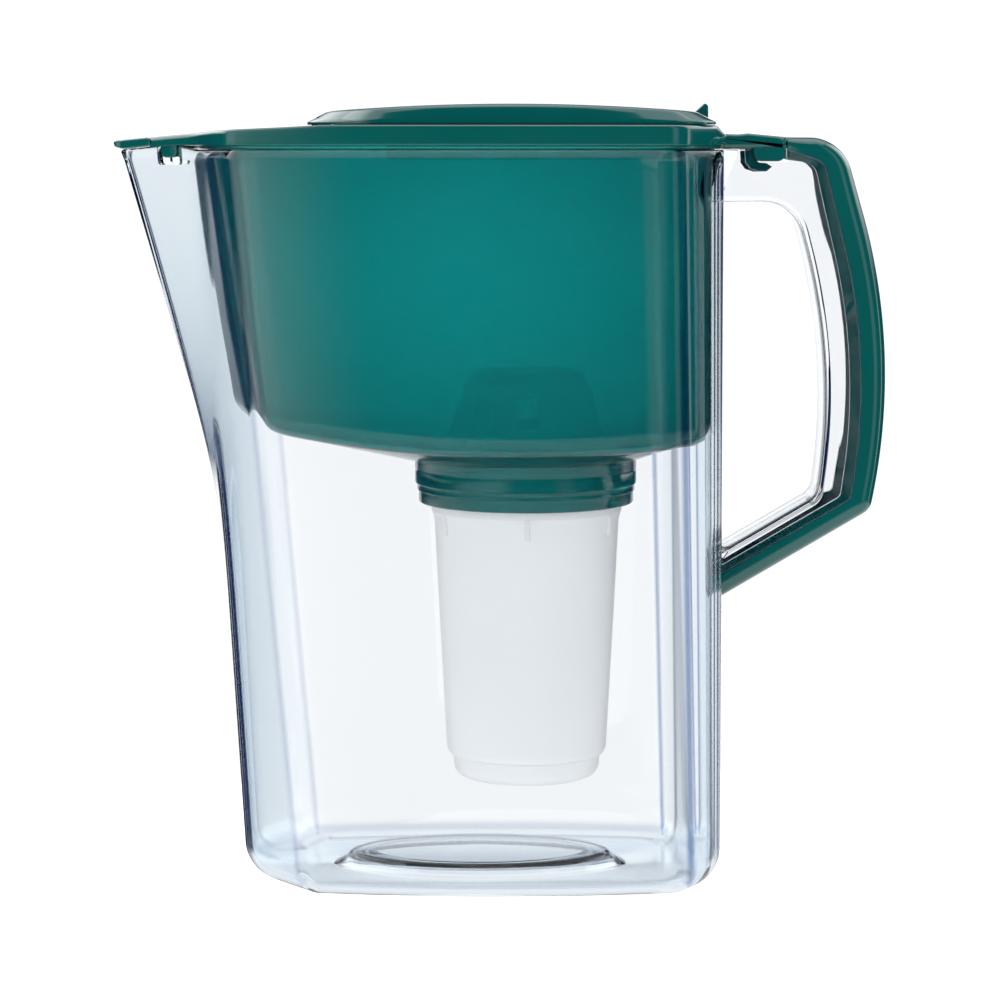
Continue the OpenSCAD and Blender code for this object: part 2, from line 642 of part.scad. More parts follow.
// Skirt under the lid that centres it in the reservoir. It is left out where each side panel starts,
// so that it passes the jug's corners by the spout with room to spare.
module lid_skirt() {
    skirt = inset(res_plan(jug_h), res_inset + res_wall + skirt_gap);
    color([0.0, 0.33, 0.3]) translate([0, 0, lid_z - skirt_h]) linear_extrude(skirt_h)
        difference() {
            polygon(skirt);
            polygon(inset(skirt, skirt_t));
            for (s = [-1, 1])
                translate([end_x - rim_panel_l - skirt_cut, s * rim_w / 2 - skirt_cut])
                    square([skirt_open_l, 2 * skirt_cut]);
        }
}

// What hangs from the lid into the spout's notches, over the handle and into its channel
module lid_catches()
    color([0.0, 0.33, 0.3]) difference() {
        union() {
            for (side = [0, 1])
                on_spout_wall(side, wall / 2) translate([0, 0, lid_z])
                    tongue(tongue_l, wall - 0.5, tongue_h, 1);
            for (s = [-1, 1]) {
                translate([tail_tongue_x + tail_tongue_l / 2, s * (handle_w - channel_t) / 2, tail_z])
                    tongue(tail_tongue_l, channel_t - 0.2, tail_tongue_h, 1);
                translate([0, s * (handle_w / 2 - channel_t - 1.6), 0])
                    across([[hook_slot_x, tail_z + 1], [hook_slot_x + 0.4, tail_z - 4.5],
                        [hook_slot_x + 5, tail_z - 7.6], [hook_slot_x + 7.5, tail_z - 7.6],
                        [hook_slot_x + 9.4, tail_z - 6], [hook_slot_x + 7.5, tail_z - 4.8],
                        [hook_slot_x + 3.6, tail_z - 3.4], [hook_slot_x + 3.2, tail_z + 1]], 2);
            }
        }
        across(concat([[seam_x, lid_top_z], [tail_x, lid_top_z]], lid_underside), rim_w * 2);
    }

// ---------- Flip lid ----------
flip_x0 = fill_x + 1;
flip_x1 = flip_x0 + flip_l;
flip_top_z = flip_z + flip_h;
flip_nose_r = 25;
flip_end_r = 14;
flip_bevel = 7;
flip_side_bevel = 3.6;
flip_c = [(flip_x0 + flip_x1) / 2, 0];
knuckle_w = 4;

// Outline of the flip lid, drawn in by the share k of its bevel and then by d
function flip_plan(k, d) =
    let(e = k * flip_bevel + d, r = 1 - k * 0.22)
    oblong(flip_x0 + e, flip_x1 - e, flip_w - 2 * (k * flip_side_bevel + d), flip_nose_r * r - d,
        flip_end_r * r - d);

// The top is crowned along and across.
flip_crown_l = 2.6;
flip_crown_w = 0.8;
function crown(p) =
    flip_top_z - flip_crown_l * pow((p.x - flip_c.x) / (flip_l / 2 - flip_bevel), 2)
    - flip_crown_w * pow(p.y / (flip_w / 2), 2);
function on_crown(plan, drop) = [for (p = plan) [p.x, p.y, crown(p) - drop]];

// Outer skin of the flip lid from its edge to the middle of its top, drawn in by t
function flip_skin(t) =
    let(top = flip_plan(1, 1.2 + t * 0.8))
    concat([at_z(flip_plan(0, t), flip_z), at_z(flip_plan(0, t + 0.1), flip_z + 0.9),
        on_crown(flip_plan(1, t * 0.8), t + 0.5), on_crown(top, t)],
        [for (k = [0.8, 0.6, 0.4, 0.2]) on_crown([for (p = top) lerp(flip_c, p, k)], t)],
        [at_z(oval_like(top, flip_c, 6, 4), flip_top_z - t)]);

module flip_lid() {
    side_y = lug_y + lug_w / 2 + hinge_gap + knuckle_w / 2;
    knuckles = [[0, 2 * (lug_y - lug_w / 2 - hinge_gap)], [side_y, knuckle_w], [-side_y, knuckle_w]];
    color([0.0, 0.35, 0.32]) union() {
        difference() {
            skin(concat(reversed(flip_skin(flip_t)), flip_skin(0)));
            for (s = [-1, 1]) translate([0, s * lug_y, 0])
                rod(hinge_x, hinge_z, lug_r + hinge_gap, lug_w + 2 * hinge_gap);
        }
        for (k = knuckles) translate([0, k[0], 0]) difference() {
            union() {
                rod(hinge_x, hinge_z, barrel_r, k[1]);
                across([[hinge_x - 0.6, hinge_z], [hinge_x - 0.6, flip_z + 2.5],
                    [hinge_x + 3.4, flip_z + 4.2], [hinge_x + barrel_r, hinge_z]], k[1]);
            }
            rod(hinge_x, hinge_z, pin_r, k[1] + 2);
        }
        // Thumb tab at the handle's end
        across([[flip_x1 - 6, flip_z + 4], [flip_x1 - 2.1, flip_z + 2.5 + tab_h],
            [flip_x1 - 0.9, flip_z + 1.6 + tab_h], [flip_x1 - 0.9, flip_z + 0.9],
            [flip_x1 - 3, flip_z + 1.2]], tab_w);
    }
}

flip_pin_l = 2 * (lug_y + lug_w / 2 + hinge_gap + knuckle_w);
module flip_pin() color([0.7, 0.72, 0.73]) rod(hinge_x, hinge_z, pin_r, flip_pin_l);

// ---------- Spout flap ----------
flap_nose_x = tip_x - lid_lip - 1.4;
flap_side = [[flap_nose_x, lid_z + 0.2], [flap_nose_x + 0.5, lid_z - 0.9], [tip_x + 1, jug_h + seat_gap],
    [flap_hinge_x, flap_under_z], [flap_hinge_x, flap_top_z], [tip_x + 2, lid_z + 1.5],
    [flap_nose_x + 0.3, lid_z + 1]];

module spout_flap() {
    plan = inset(jug_plan(jug_h), -lid_lip);
    lug_room = flap_lug_w + 2 * flap_gap;
    color([0.0, 0.33, 0.3]) difference() {
        intersection() {
            union() {
                across(flap_side, rim_w);
                rod(flap_hinge_x, flap_hinge_z, flap_barrel_r, rim_w);
            }
            translate([0, 0, jug_h]) linear_extrude(6) union() {
                polygon(plan);
                translate([flap_nose_x, -spout_tip_w / 2 - 0.4]) square([6, spout_tip_w + 0.8]);
            }
        }
        translate([flap_hinge_x - flap_barrel_r - flap_gap, -lug_room / 2, jug_h])
            cube([4 * flap_barrel_r, lug_room, lid_t + 2]);
        rod(flap_hinge_x, flap_hinge_z, flap_pin_r, flap_pin_l);
    }
}

module flap_pin() color([0.7, 0.72, 0.73]) rod(flap_hinge_x, flap_hinge_z, flap_pin_r, flap_pin_l);

jug();
handle_frame();
handle_cover();
reservoir();
cartridge_cup();
cartridge_base_cap();
cartridge_seal();
lower_mesh();
lower_felt();
sorbent_bed();
upper_felt();
upper_mesh();
cartridge_cage();
lid_base();
lid_nose();
lid_skirt();
lid_catches();
flip_lid();
flip_pin();
spout_flap();
flap_pin();
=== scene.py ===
"""Looks of the water filter pitcher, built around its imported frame.

Outlines are worked out in millimetres, in the frame's axes. They become metres when a mesh is made.
"""
import json
import math

import bmesh
import bpy
import numpy as np
from mathutils import Matrix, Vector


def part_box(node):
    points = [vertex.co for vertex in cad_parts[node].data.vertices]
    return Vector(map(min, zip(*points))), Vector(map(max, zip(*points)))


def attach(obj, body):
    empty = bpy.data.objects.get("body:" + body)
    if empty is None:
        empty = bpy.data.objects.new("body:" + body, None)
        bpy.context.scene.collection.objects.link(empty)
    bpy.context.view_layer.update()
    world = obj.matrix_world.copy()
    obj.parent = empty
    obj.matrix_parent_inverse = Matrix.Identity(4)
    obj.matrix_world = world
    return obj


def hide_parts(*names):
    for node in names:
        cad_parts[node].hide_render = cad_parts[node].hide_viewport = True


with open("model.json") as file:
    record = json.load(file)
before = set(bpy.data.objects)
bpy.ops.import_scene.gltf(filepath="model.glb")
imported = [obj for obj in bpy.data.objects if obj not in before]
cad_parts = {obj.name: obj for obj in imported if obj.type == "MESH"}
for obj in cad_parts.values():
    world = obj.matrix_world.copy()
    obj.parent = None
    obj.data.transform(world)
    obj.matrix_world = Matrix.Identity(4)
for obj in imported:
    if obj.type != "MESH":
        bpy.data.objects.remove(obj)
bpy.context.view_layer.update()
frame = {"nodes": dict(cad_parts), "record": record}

MM = 0.001


def node_box(name):
    """Lowest and highest corners of a CAD node, in millimetres."""
    return [np.array(corner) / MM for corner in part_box(name)]


# ---------- Camera ----------
CAMERA_AWAY = 1052.0
CAMERA_HEIGHT = 252.07
CAMERA_TILT = math.radians(4.742)
FOCAL_SHARE = 3.05          # focal length as a share of the picture's width
SHIFT_UP = -0.10
SENSOR = 36.0

camera_data = bpy.data.cameras.new("camera")
camera_data.sensor_width = SENSOR
camera_data.lens = SENSOR * FOCAL_SHARE
camera_data.shift_y = SHIFT_UP
camera_data.clip_end = 50
camera = bpy.data.objects.new("camera", camera_data)
camera.location = (0, -CAMERA_AWAY * MM, CAMERA_HEIGHT * MM)
camera.rotation_euler = (math.pi / 2 - CAMERA_TILT, 0, 0)
bpy.context.scene.collection.objects.link(camera)
bpy.context.scene.camera = camera

# ---------- Sizes ----------
END_X = node_box("handle_frame")[0][0]      # the flat wall that carries the handle
CARTRIDGE_X = (node_box("cartridge_cup")[0][0] + node_box("cartridge_cup")[1][0]) / 2

JUG_H = 251.2
RIM_L, BASE_L = 179.0, 164.2
RIM_PANEL_L, BASE_PANEL_L = 164.6, 142.2
RIM_CORNER_L, BASE_CORNER_L = 16.5, 11.5
RIM_W, BASE_W = 102.0, 92.0
RIM_ROOT_W, BASE_ROOT_W = 60.0, 40.0
END_W, SPOUT_TIP_W = 52.0, 10.0
PANEL_BOW, NOSE_BOW, SIDE_BOW, END_BOW = 6.0, 2.0, 0.5, 1.5
SPOUT_Z, SPOUT_EASE, SPOUT_LEAN = 95.0, 75.0, 0.225
WALL, BASE_R = 2.5, 13.0
KICK_L, KICK_W, KICK_H, KICK_SLOPE = 102.0, 62.0, 5.0, 8.0

SEAT_GAP, FLANGE_T = 0.2, 1.5
FLANGE_Z = JUG_H + SEAT_GAP
FLANGE_TOP = FLANGE_Z + FLANGE_T
LID_Z = FLANGE_TOP + SEAT_GAP
LID_TOP = LID_Z + 6.2
LID_LIP, LIP_H = 0.8, 0.5

HANDLE_W, CHANNEL_T, COVER_T = 28.4, 2.0, 2.2
GRIP_GAP, HANDLE_REACH = 35.7, 56.9
GRIP_TOP, BELLY_Z, BELLY_R, ARM_Z, ARM_SLOPE = 233.5, 165.0, 208.0, 112.8, math.radians(30.5)
TAIL_L = 21.9
COVER_X = END_X + TAIL_L + SEAT_GAP
FRAME_Z = JUG_H
TAIL_Z = FRAME_Z + SEAT_GAP
OUTER_TOP = LID_Z + 2.4


# ---------- Plane geometry ----------
def mix(a, b, t):
    return a + (b - a) * t


def unit(v):
    return v / np.linalg.norm(v)


def smooth_step(t):
    t = np.clip(t, 0, 1)
    return t * t * (3 - 2 * t)


def bow_point(p, q, bow, t):
    """Point at share t from p to q, on a curve bowed out to the right by bow."""
    d = unit(q - p)
    return mix(p, q, t) + np.array([d[1], -d[0]]) * bow * 4 * t * (1 - t)


def bow_tangent(p, q, bow, t):
    d = unit(q - p)
    return unit((q - p) + np.array([d[1], -d[0]]) * bow * 4 * (1 - 2 * t))


def blend_curve(a, along_a, b, along_b, steps):
    """Points of a smooth curve from a to b without b, leaving and arriving along the given directions."""
    reach = 0.36 * np.linalg.norm(b - a)
    c, d = a + along_a * reach, b - along_b * reach
    return [a * (1 - t) ** 3 + c * 3 * t * (1 - t) ** 2 + d * 3 * t * t * (1 - t) + b * t ** 3
            for t in np.arange(steps) / steps]


def rounded_outline(corners, bows, rounds, steps, corner_steps=8):
    """Points along bowed edges between corners. Inner corner i is blended over rounds[i - 1] to each side."""
    corners = [np.array(c, float) for c in corners]
    edges = list(zip(corners, corners[1:], bows))
    spans = []
    for i, (p, q, _) in enumerate(edges):
        length = np.linalg.norm(q - p)
        start = min(rounds[i - 1] / length, 0.48) if i else 0.0
        end = 1 - min(rounds[i] / length, 0.48) if i + 1 < len(edges) else 1.0
        spans.append((start, end))
    points = []
    for i, (edge, span) in enumerate(zip(edges, spans)):
        points += [bow_point(*edge, t) for t in np.linspace(*span, steps[i] + 1)]
        if i + 1 < len(edges):
            after, begin = edges[i + 1], spans[i + 1][0]
            a = points.pop()
            points += blend_curve(a, bow_tangent(*edge, span[1]), bow_point(*after, begin),
                                  bow_tangent(*after, begin), corner_steps)
    return np.array(points)


def mirrored(half):
    """Closed outline from its near half, which starts and ends on the centre line."""
    return np.vstack([half, half[-2:0:-1] * [1, -1]])


def inset(ring, d):
    """A closed outline moved inwards by d. A large move follows smoothed corners, so that nothing folds."""
    along = np.roll(ring, -1, axis=0) - np.roll(ring, 1, axis=0)
    normal = np.stack([-along[:, 1], along[:, 0]], axis=1)
    normal /= np.linalg.norm(normal, axis=1)[:, None]
    if abs(d) > 3:
        steps = np.linalg.norm(np.roll(ring, -1, axis=0) - ring, axis=1)
        place = np.concatenate([[0], np.cumsum(steps)[:-1]])
        apart = np.abs(place[:, None] - place[None, :])
        apart = np.minimum(apart, steps.sum() - apart)
        weight = np.exp(-0.5 * (apart / (0.5 * abs(d))) ** 2) * (steps + np.roll(steps, 1))
        normal = weight @ normal
        normal /= np.linalg.norm(normal, axis=1)[:, None]
    return ring + normal * d


def oval_like(ring, centre, a, b):
    """Oval with one point in the direction of each point of a ring."""
    angle = np.arctan2((ring[:, 1] - centre[1]) / b, (ring[:, 0] - centre[0]) / a)
    return np.stack([centre[0] + a * np.cos(angle), centre[1] + b * np.sin(angle)], axis=1)


def at_z(ring, z):
    return np.column_stack([ring[:, :2], np.broadcast_to(z, len(ring))])


def arc(centre, r, start, end, steps):
    """Points of an arc between two angles in degrees."""
    turn = np.radians(np.linspace(start, end, steps + 1))
    return np.array(centre) + r * np.stack([np.cos(turn), np.sin(turn)], axis=1)


def oblong(x0, x1, w, r, s, steps=14):
    """Rectangle with corners of radius r at its left end and s at its right end."""
    h = w / 2
    corners = [((x0 + r, r - h), r, 180), ((x1 - s, s - h), s, 270), ((x1 - s, h - s), s, 0),
               ((x0 + r, h - r), r, 90)]
    arcs = [arc(c, radius, start, start + 90, steps) for c, radius, start in corners]
    points = []
    for one, after in zip(arcs, arcs[1:] + arcs[:1]):
        points += list(one) + [mix(one[-1], after[0], k / steps) for k in range(1, steps)]
    return np.array(points)


def fillet(a, b, c, r, steps):
    """Arc of radius r that rounds the corner b between a and c."""
    u, v = unit(a - b), unit(c - b)
    corner = math.acos(u @ v)
    centre = b + unit(u + v) * r / math.sin(corner / 2)
    p, q = [b + w * r / math.tan(corner / 2) - centre for w in (u, v)]
    turn = math.pi - corner
    shares = np.linspace(0, 1, steps + 1)
    return [centre + (p * math.sin((1 - t) * turn) + q * math.sin(t * turn)) / math.sin(turn) for t in shares]


# ---------- Meshes ----------
TURNED_STEPS, ROD_STEPS = 144, 40


def mesh_object(name, bm, sharp=35):
    """Object from a bmesh in millimetres, smooth but for edges sharper than the angle given."""
    bmesh.ops.recalc_face_normals(bm, faces=bm.faces)
    mesh = bpy.data.meshes.new(name)
    bm.to_mesh(mesh)
    bm.free()
    mesh.transform(Matrix.Scale(MM, 4))
    piece = bpy.data.objects.new(name, mesh)
    bpy.context.scene.collection.objects.link(piece)
    return shaded(piece, sharp)


def shaded(piece, sharp=35):
    piece.data.shade_smooth()
    piece.data.set_sharp_from_angle(angle=math.radians(sharp))
    return piece


def loft(name, rings, looped=False, sharp=35, poles=False):
    """Skin through rings of equally many points. It closes into a loop, or its ends are filled.
    With poles each end is a fan to its middle."""
    bm = bmesh.new()
    rows = [[bm.verts.new(p) for p in ring] for ring in rings]
    count = len(rows[0])
    for lower, upper in list(zip(rows, rows[1:])) + ([(rows[-1], rows[0])] if looped else []):
        for i in range(count):
            j = (i + 1) % count
            bm.faces.new([lower[i], lower[j], upper[j], upper[i]])
    for row, ring in [] if looped else ((rows[0], rings[0]), (rows[-1], rings[-1])):
        if poles:
            middle = bm.verts.new(np.mean(ring, axis=0))
            for i in range(count):
                bm.faces.new([row[i], row[(i + 1) % count], middle])
        else:
            cap = bm.faces.new(row)
            cap.normal_update()
            bmesh.ops.triangulate(bm, faces=[cap], ngon_method="EAR_CLIP")
    return mesh_object(name, bm, sharp)


def slab(name, outline, half, edge=0.0, y=0.0, place=None, sharp=35):
    """An X-Z outline as a plate of the given half width about y, with its edges rounded by edge."""
    outline = np.array(outline, float)
    after = np.roll(outline, -1, axis=0)
    if np.sum(outline[:, 0] * after[:, 1] - after[:, 0] * outline[:, 1]) < 0:
        outline = outline[::-1]
    turns = np.radians(np.linspace(0, 90, 5)) if edge else np.array([0.0])
    side = [(-half + edge * (1 - math.cos(a)), edge * (1 - math.sin(a))) for a in turns]
    rings = []
    for offset, draw in side + [(-w, d) for w, d in side[::-1]]:
        ring = inset(outline, draw)
        points = np.column_stack([ring[:, 0], np.full(len(ring), y + offset), ring[:, 1]])
        rings.append(place(points) if place else points)
    return loft(name, rings, sharp=sharp)


def turned(name, profile, looped=True):
    """Piece turned about the cartridge's upright axis, from its profile of radius and height."""
    circle = arc((0, 0), 1.0, 0, 360, TURNED_STEPS)[:-1]
    rings = [at_z(circle * max(r, 0.05) + [CARTRIDGE_X, 0], z) for r, z in profile]
    return loft(name, rings, looped=looped, poles=not looped, sharp=30)


def rod(name, x, z, r, w, y=0.0):
    """Round bar along Y."""
    circle = arc((x, z), r, 0, 360, ROD_STEPS)[:-1]
    return slab(name, circle, w / 2, edge=min(0.15, r / 4), y=y)


def joined(name, pieces, sharp=35):
    """One object from several, which are used up."""
    bm = bmesh.new()
    for piece in pieces:
        bm.from_mesh(piece.data)
        bpy.data.objects.remove(piece)
    mesh = bpy.data.meshes.new(name)
    bm.to_mesh(mesh)
    bm.free()
    piece = bpy.data.objects.new(name, mesh)
    bpy.context.scene.collection.objects.link(piece)
    return shaded(piece, sharp)


def settled(piece, sharp=35):
    """The piece with its modifiers made part of its mesh."""
    seen = piece.evaluated_get(bpy.context.evaluated_depsgraph_get())
    mesh = bpy.data.meshes.new_from_object(seen)
    piece.modifiers.clear()
    piece.data = mesh
    return shaded(piece, sharp)


def carved(piece, tools, operation="DIFFERENCE", sharp=35):
    """The piece with the tools cut away or added. The tools are used up."""
    for tool in tools:
        change = piece.modifiers.new("carve", "BOOLEAN")
        change.operation, change.solver, change.object = operation, "MANIFOLD", tool
    settled(piece, sharp)
    for tool in tools:
        bpy.data.objects.remove(tool)
    return piece


def softened(piece, width, angle=38, segments=2, sharp=35):
    """The piece with its edges rounded, width in millimetres."""
    change = piece.modifiers.new("soften", "BEVEL")
    change.width, change.segments, change.limit_method = width * MM, segments, "ANGLE"
    change.angle_limit = math.radians(angle)
    change.harden_normals = False
    return settled(piece, sharp)


# ---------- Node trees ----------
def add_node(tree, kind, settings=None, values=None):
    """One node: its settings first, then the values or links of its sockets."""
    node = tree.nodes.new(kind)
    for name, value in (settings or {}).items():
        setattr(node, name, value)
    for name, value in (values or {}).items():
        socket = node.inputs[name]
        if isinstance(value, Wire):
            tree.links.new(value.socket, socket)
        else:
            socket.default_value = value
    return node


class Wire:
    """An output socket that takes part in sums. Each operation adds a Math node."""

    def __init__(self, tree, socket):
        self.tree, self.socket = tree, socket

    def calc(self, operation, a, b=0.0):
        node = add_node(self.tree, "ShaderNodeMath", {"operation": operation}, {0: a, 1: b})
        return Wire(self.tree, node.outputs[0])

    def __add__(self, other):
        return self.calc("ADD", self, other)

    __radd__ = __add__

    def __sub__(self, other):
        return self.calc("SUBTRACT", self, other)

    def __rsub__(self, other):
        return self.calc("SUBTRACT", other, self)

    def __mul__(self, other):
        return self.calc("MULTIPLY", self, other)

    __rmul__ = __mul__

    def __truediv__(self, other):
        return self.calc("DIVIDE", self, other)

    def __rtruediv__(self, other):
        return self.calc("DIVIDE", other, self)

    def __pow__(self, other):
        return self.calc("POWER", self, other)


def wired(tree):
    """Function that adds a node to a tree and returns one of its outputs."""
    def node(kind, settings=None, values=None, out=0):
        return Wire(tree, add_node(tree, kind, settings, values).outputs[out])
    return node


def axes_of(tree, vector):
    """The X, Y and Z of a vector."""
    split = add_node(tree, "ShaderNodeSeparateXYZ", None, {0: vector})
    return [Wire(tree, split.outputs[axis]) for axis in "XYZ"]


class Finish:
    """A material under construction."""

    def __init__(self, name):
        self.material = bpy.data.materials.new(name)
        self.material.use_nodes = True
        self.tree = self.material.node_tree
        self.tree.nodes.clear()
        self.output = self.tree.nodes.new("ShaderNodeOutputMaterial")
        self.node = wired(self.tree)

    def place(self, size=(1, 1, 1)):
        """Object coordinates, stretched by size."""
        coordinates = self.node("ShaderNodeTexCoord", out="Object")
        return self.node("ShaderNodeMapping", {"vector_type": "POINT"},
                         {"Vector": coordinates, "Scale": size})

    def noise(self, scale, detail=3.0, rough=0.5, size=(1, 1, 1)):
        """Noise from 0 to 1, with scale in features per metre."""
        return self.node("ShaderNodeTexNoise", None,
                         {"Vector": self.place(size), "Scale": scale, "Detail": detail, "Roughness": rough})

    def blend(self, share, a, b):
        """Colour between a and b. The Mix node's colour sockets go by place, as their names repeat."""
        return self.node("ShaderNodeMix", {"data_type": "RGBA"}, {0: share, 6: a, 7: b}, out=2)

    def aslant(self):
        """0 where a surface is seen straight on, 1 along its outline."""
        return self.node("ShaderNodeLayerWeight", None, {"Blend": 0.5}, out="Facing")

    def relief(self, height, depth, strength=1.0):
        """Bump of the given depth in millimetres."""
        return self.node("ShaderNodeBump", None,
                         {"Height": height, "Distance": depth * MM, "Strength": strength})

    def surface(self, values):
        shader = self.node("ShaderNodeBsdfPrincipled", None, values, out="BSDF")
        self.tree.links.new(shader.socket, self.output.inputs["Surface"])


# ---------- Materials ----------
CLEAR_TINT = (0.968, 0.977, 0.984, 1)
CLEAR_EDGE, CLEAR_ABSORBED = (0.68, 0.83, 0.93, 1), (0.80, 0.90, 0.97, 1)
# Painted shade: the next colour darkens the clear plastic to dark blue along the side panels' folds and along
# a line just above the foot.
CLEAR_PAINTED_SHADE = (0.10, 0.20, 0.42, 1)
FOLD_Y, CORNER_FOLD_W, PANEL_FOLD_W = 38, 1.7, 1.3
FOOT_LINE_Z, FOOT_LINE_W = 4.5, 2.2
FAINT, PAINTED_SHADE_DEPTH = 0.4, 0.85
DARK_GREEN, DARK_GREEN_WORN = (0.0, 0.048, 0.044, 1), (0.0, 0.062, 0.056, 1)
TEAL, TEAL_LIGHT_AND_GLOW, TEAL_EDGE = (0.0, 0.30, 0.28, 1), (0.0, 0.56, 0.53, 1), (0.0, 0.10, 0.09, 1)
# Painted glow: the teal is lighter about a spot in the reservoir's middle and darker away from it, as if lit
# through from behind.
PAINTED_GLOW_SPOT, PAINTED_GLOW_STRETCH, PAINTED_GLOW_REACH = (-0.01, 0, 0.272), (1, 0.2, 1.3), 0.1
TEAL_CLOUD = 0.15
WHITE, WHITE_SHADE = (0.85, 0.85, 0.85, 1), (0.79, 0.79, 0.795, 1)


def clear_plastic():
    look = Finish("clear_plastic")
    haze = look.noise(38, 4)
    ripple = look.noise(16, 1, size=(1, 1, 0.5))
    x, y, z = axes_of(look.tree, look.place())

    def near_line(value, line, width):
        """1 on the line, 0 a width away from it."""
        off = value - line
        nearness = 1 - off.calc("ABSOLUTE", off) / width
        return nearness.calc("MAXIMUM", nearness, 0.0)

    def fold(base_l, rim_l, width):
        """Painted shade line along a fold of the side panel, where the clear wall is drawn dark blue. It
        leans from base_l to rim_l.
        """
        line = z * ((base_l - rim_l) / JUG_H) + (END_X - base_l) * MM
        return near_line(x, line, width * MM)

    beside = y.calc("GREATER_THAN", y.calc("ABSOLUTE", y), FOLD_Y * MM)
    corner_fold_shade = fold(BASE_CORNER_L, RIM_CORNER_L, CORNER_FOLD_W)
    panel_fold_shade = fold(BASE_PANEL_L, RIM_PANEL_L, PANEL_FOLD_W)
    foot = near_line(z, FOOT_LINE_Z * MM, FOOT_LINE_W * MM)
    # Painted shade: mask of the dark lines along the two folds on each side and just above the foot.
    painted_fold_shade = foot.calc("MINIMUM", (corner_fold_shade + panel_fold_shade * FAINT) * beside + foot * FAINT, 1.0)
    tint = look.blend(look.aslant(), CLEAR_TINT, CLEAR_EDGE)
    look.surface({
        "Base Color": look.blend(painted_fold_shade * PAINTED_SHADE_DEPTH, tint, CLEAR_PAINTED_SHADE),
        "Roughness": haze ** 3.0 * 0.03,
        "IOR": 1.5,
        "Transmission Weight": 1.0,
        "Normal": look.relief(ripple, 0.02, 0.15)})
    absorb = look.node("ShaderNodeVolumeAbsorption", None, {"Color": CLEAR_ABSORBED, "Density": 5.0})
    look.tree.links.new(absorb.socket, look.output.inputs["Volume"])
    return look.material


def teal_plastic():
    look = Finish("tinted_plastic")
    cloud = look.noise(22, 3)
    smudge = look.noise(50, 5, 0.6)
    flow = look.noise(300, 2)
    # Painted glow: the distance from a spot in the reservoir's middle blends the teal from light there to
    # darker away from it. A small share of cloud noise adds random tone.
    spot = look.node("ShaderNodeVectorMath", {"operation": "DISTANCE"},
                     {0: look.place(PAINTED_GLOW_STRETCH), 1: PAINTED_GLOW_SPOT}, out="Value")
    depth = spot.calc("MINIMUM", spot / PAINTED_GLOW_REACH, 1.0) ** 1.6
    tint = look.blend(cloud * TEAL_CLOUD + depth * (1 - TEAL_CLOUD), TEAL_LIGHT_AND_GLOW, TEAL)
    look.surface({
        "Base Color": look.blend(look.aslant(), tint, TEAL_EDGE),
        "Roughness": smudge * 0.06 + 0.08 + look.aslant() ** 3.0 * 0.05,
        "IOR": 1.5,
        "Transmission Weight": 0.7,
        "Coat Weight": 0.1,
        "Coat Roughness": 0.12,
        "Normal": look.relief(flow, 0.012, 0.3)})
    return look.material


def carbon_granules():
    look = Finish("sorbent")
    cells = look.node("ShaderNodeTexVoronoi", {"feature": "F1"}, {"Vector": look.place(), "Scale": 900.0})
    bead = look.node("ShaderNodeTexVoronoi", {"feature": "F1"}, {"Vector": look.place(), "Scale": 620.0},
                     out="Color")
    chosen = look.node("ShaderNodeSeparateColor", None, {"Color": bead})
    pale = look.node("ShaderNodeMath", {"operation": "GREATER_THAN"}, {0: chosen, 1: 0.72})
    look.surface({
        "Base Color": look.blend(pale, (0.02, 0.019, 0.018, 1), (0.55, 0.36, 0.15, 1)),
        "Roughness": 0.75 - cells * 0.3,
        "Normal": look.relief(1 - cells, 0.6, 0.9)})
    return look.material


def plain_finish(name, tone, colours, rough, relief, uneven=None, bump=None, more=None):
    """Finish with noise in its colour, roughness and relief. Tone, uneven and bump are the noises, rough the
    range and the least of the roughness, relief its depth in millimetres and its strength."""
    look = Finish(name)
    look.surface({
        "Base Color": look.blend(look.noise(*tone), *colours),
        "Roughness": look.noise(*(uneven or tone)) * rough[0] + rough[1],
        "Normal": look.relief(look.noise(*(bump or tone)), *relief),
        **(more or {})})
    return look.material


FINISHES = {
    "clear_plastic": clear_plastic(),
    "tinted_plastic": teal_plastic(),
    "sorbent": carbon_granules(),
    "green_plastic": plain_finish(
        "green_plastic", (30, 3), (DARK_GREEN, DARK_GREEN_WORN), (0.07, 0.07), (0.01, 0.3),
        (55, 5, 0.6), (420, 2), {"Specular IOR Level": 0.5, "Coat Weight": 0.6, "Coat Roughness": 0.04}),
    "white_plastic": plain_finish(
        "white_plastic", (26, 3), (WHITE, WHITE_SHADE), (0.08, 0.34), (0.02, 0.25), None, (2600, 2),
        {"Subsurface Weight": 0.15, "Subsurface Radius": (0.004, 0.004, 0.004), "Subsurface Scale": 1.0}),
    "seal_rubber": plain_finish(
        "seal_rubber", (90, 3), ((0.035, 0.035, 0.04, 1), (0.06, 0.06, 0.065, 1)), (0.15, 0.5), (0.03, 0.4),
        (1500, 3), (1500, 3)),
    "mesh": plain_finish(
        "mesh", (900, 2), ((0.72, 0.75, 0.76, 1), (0.84, 0.86, 0.87, 1)), (0.2, 0.4), (0.02, 0.4)),
    "felt": plain_finish(
        "felt", (1100, 6, 0.75, (1, 1, 3)), ((0.74, 0.74, 0.70, 1), (0.93, 0.93, 0.90, 1)), (0.1, 0.85),
        (0.25, 0.8), more={"Sheen Weight": 0.3}),
    "pin_steel": plain_finish(
        "pin_steel", (700, 3, 0.5, (1, 0.03, 1)), ((0.52, 0.53, 0.54, 1), (0.68, 0.69, 0.70, 1)), (0.14, 0.2),
        (0.01, 0.4), more={"Metallic": 1.0})}


def finished(piece, slot, body, *nodes):
    """Gives a piece its material and its body, and hides the CAD nodes that it stands for."""
    piece.data.materials.clear()
    piece.data.materials.append(FINISHES[slot])
    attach(piece, body)
    if nodes:
        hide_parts(*nodes)
    return piece


# ---------- Body outlines ----------
EDGE_STEPS = [3, 10, 8, 26, 6, 8]


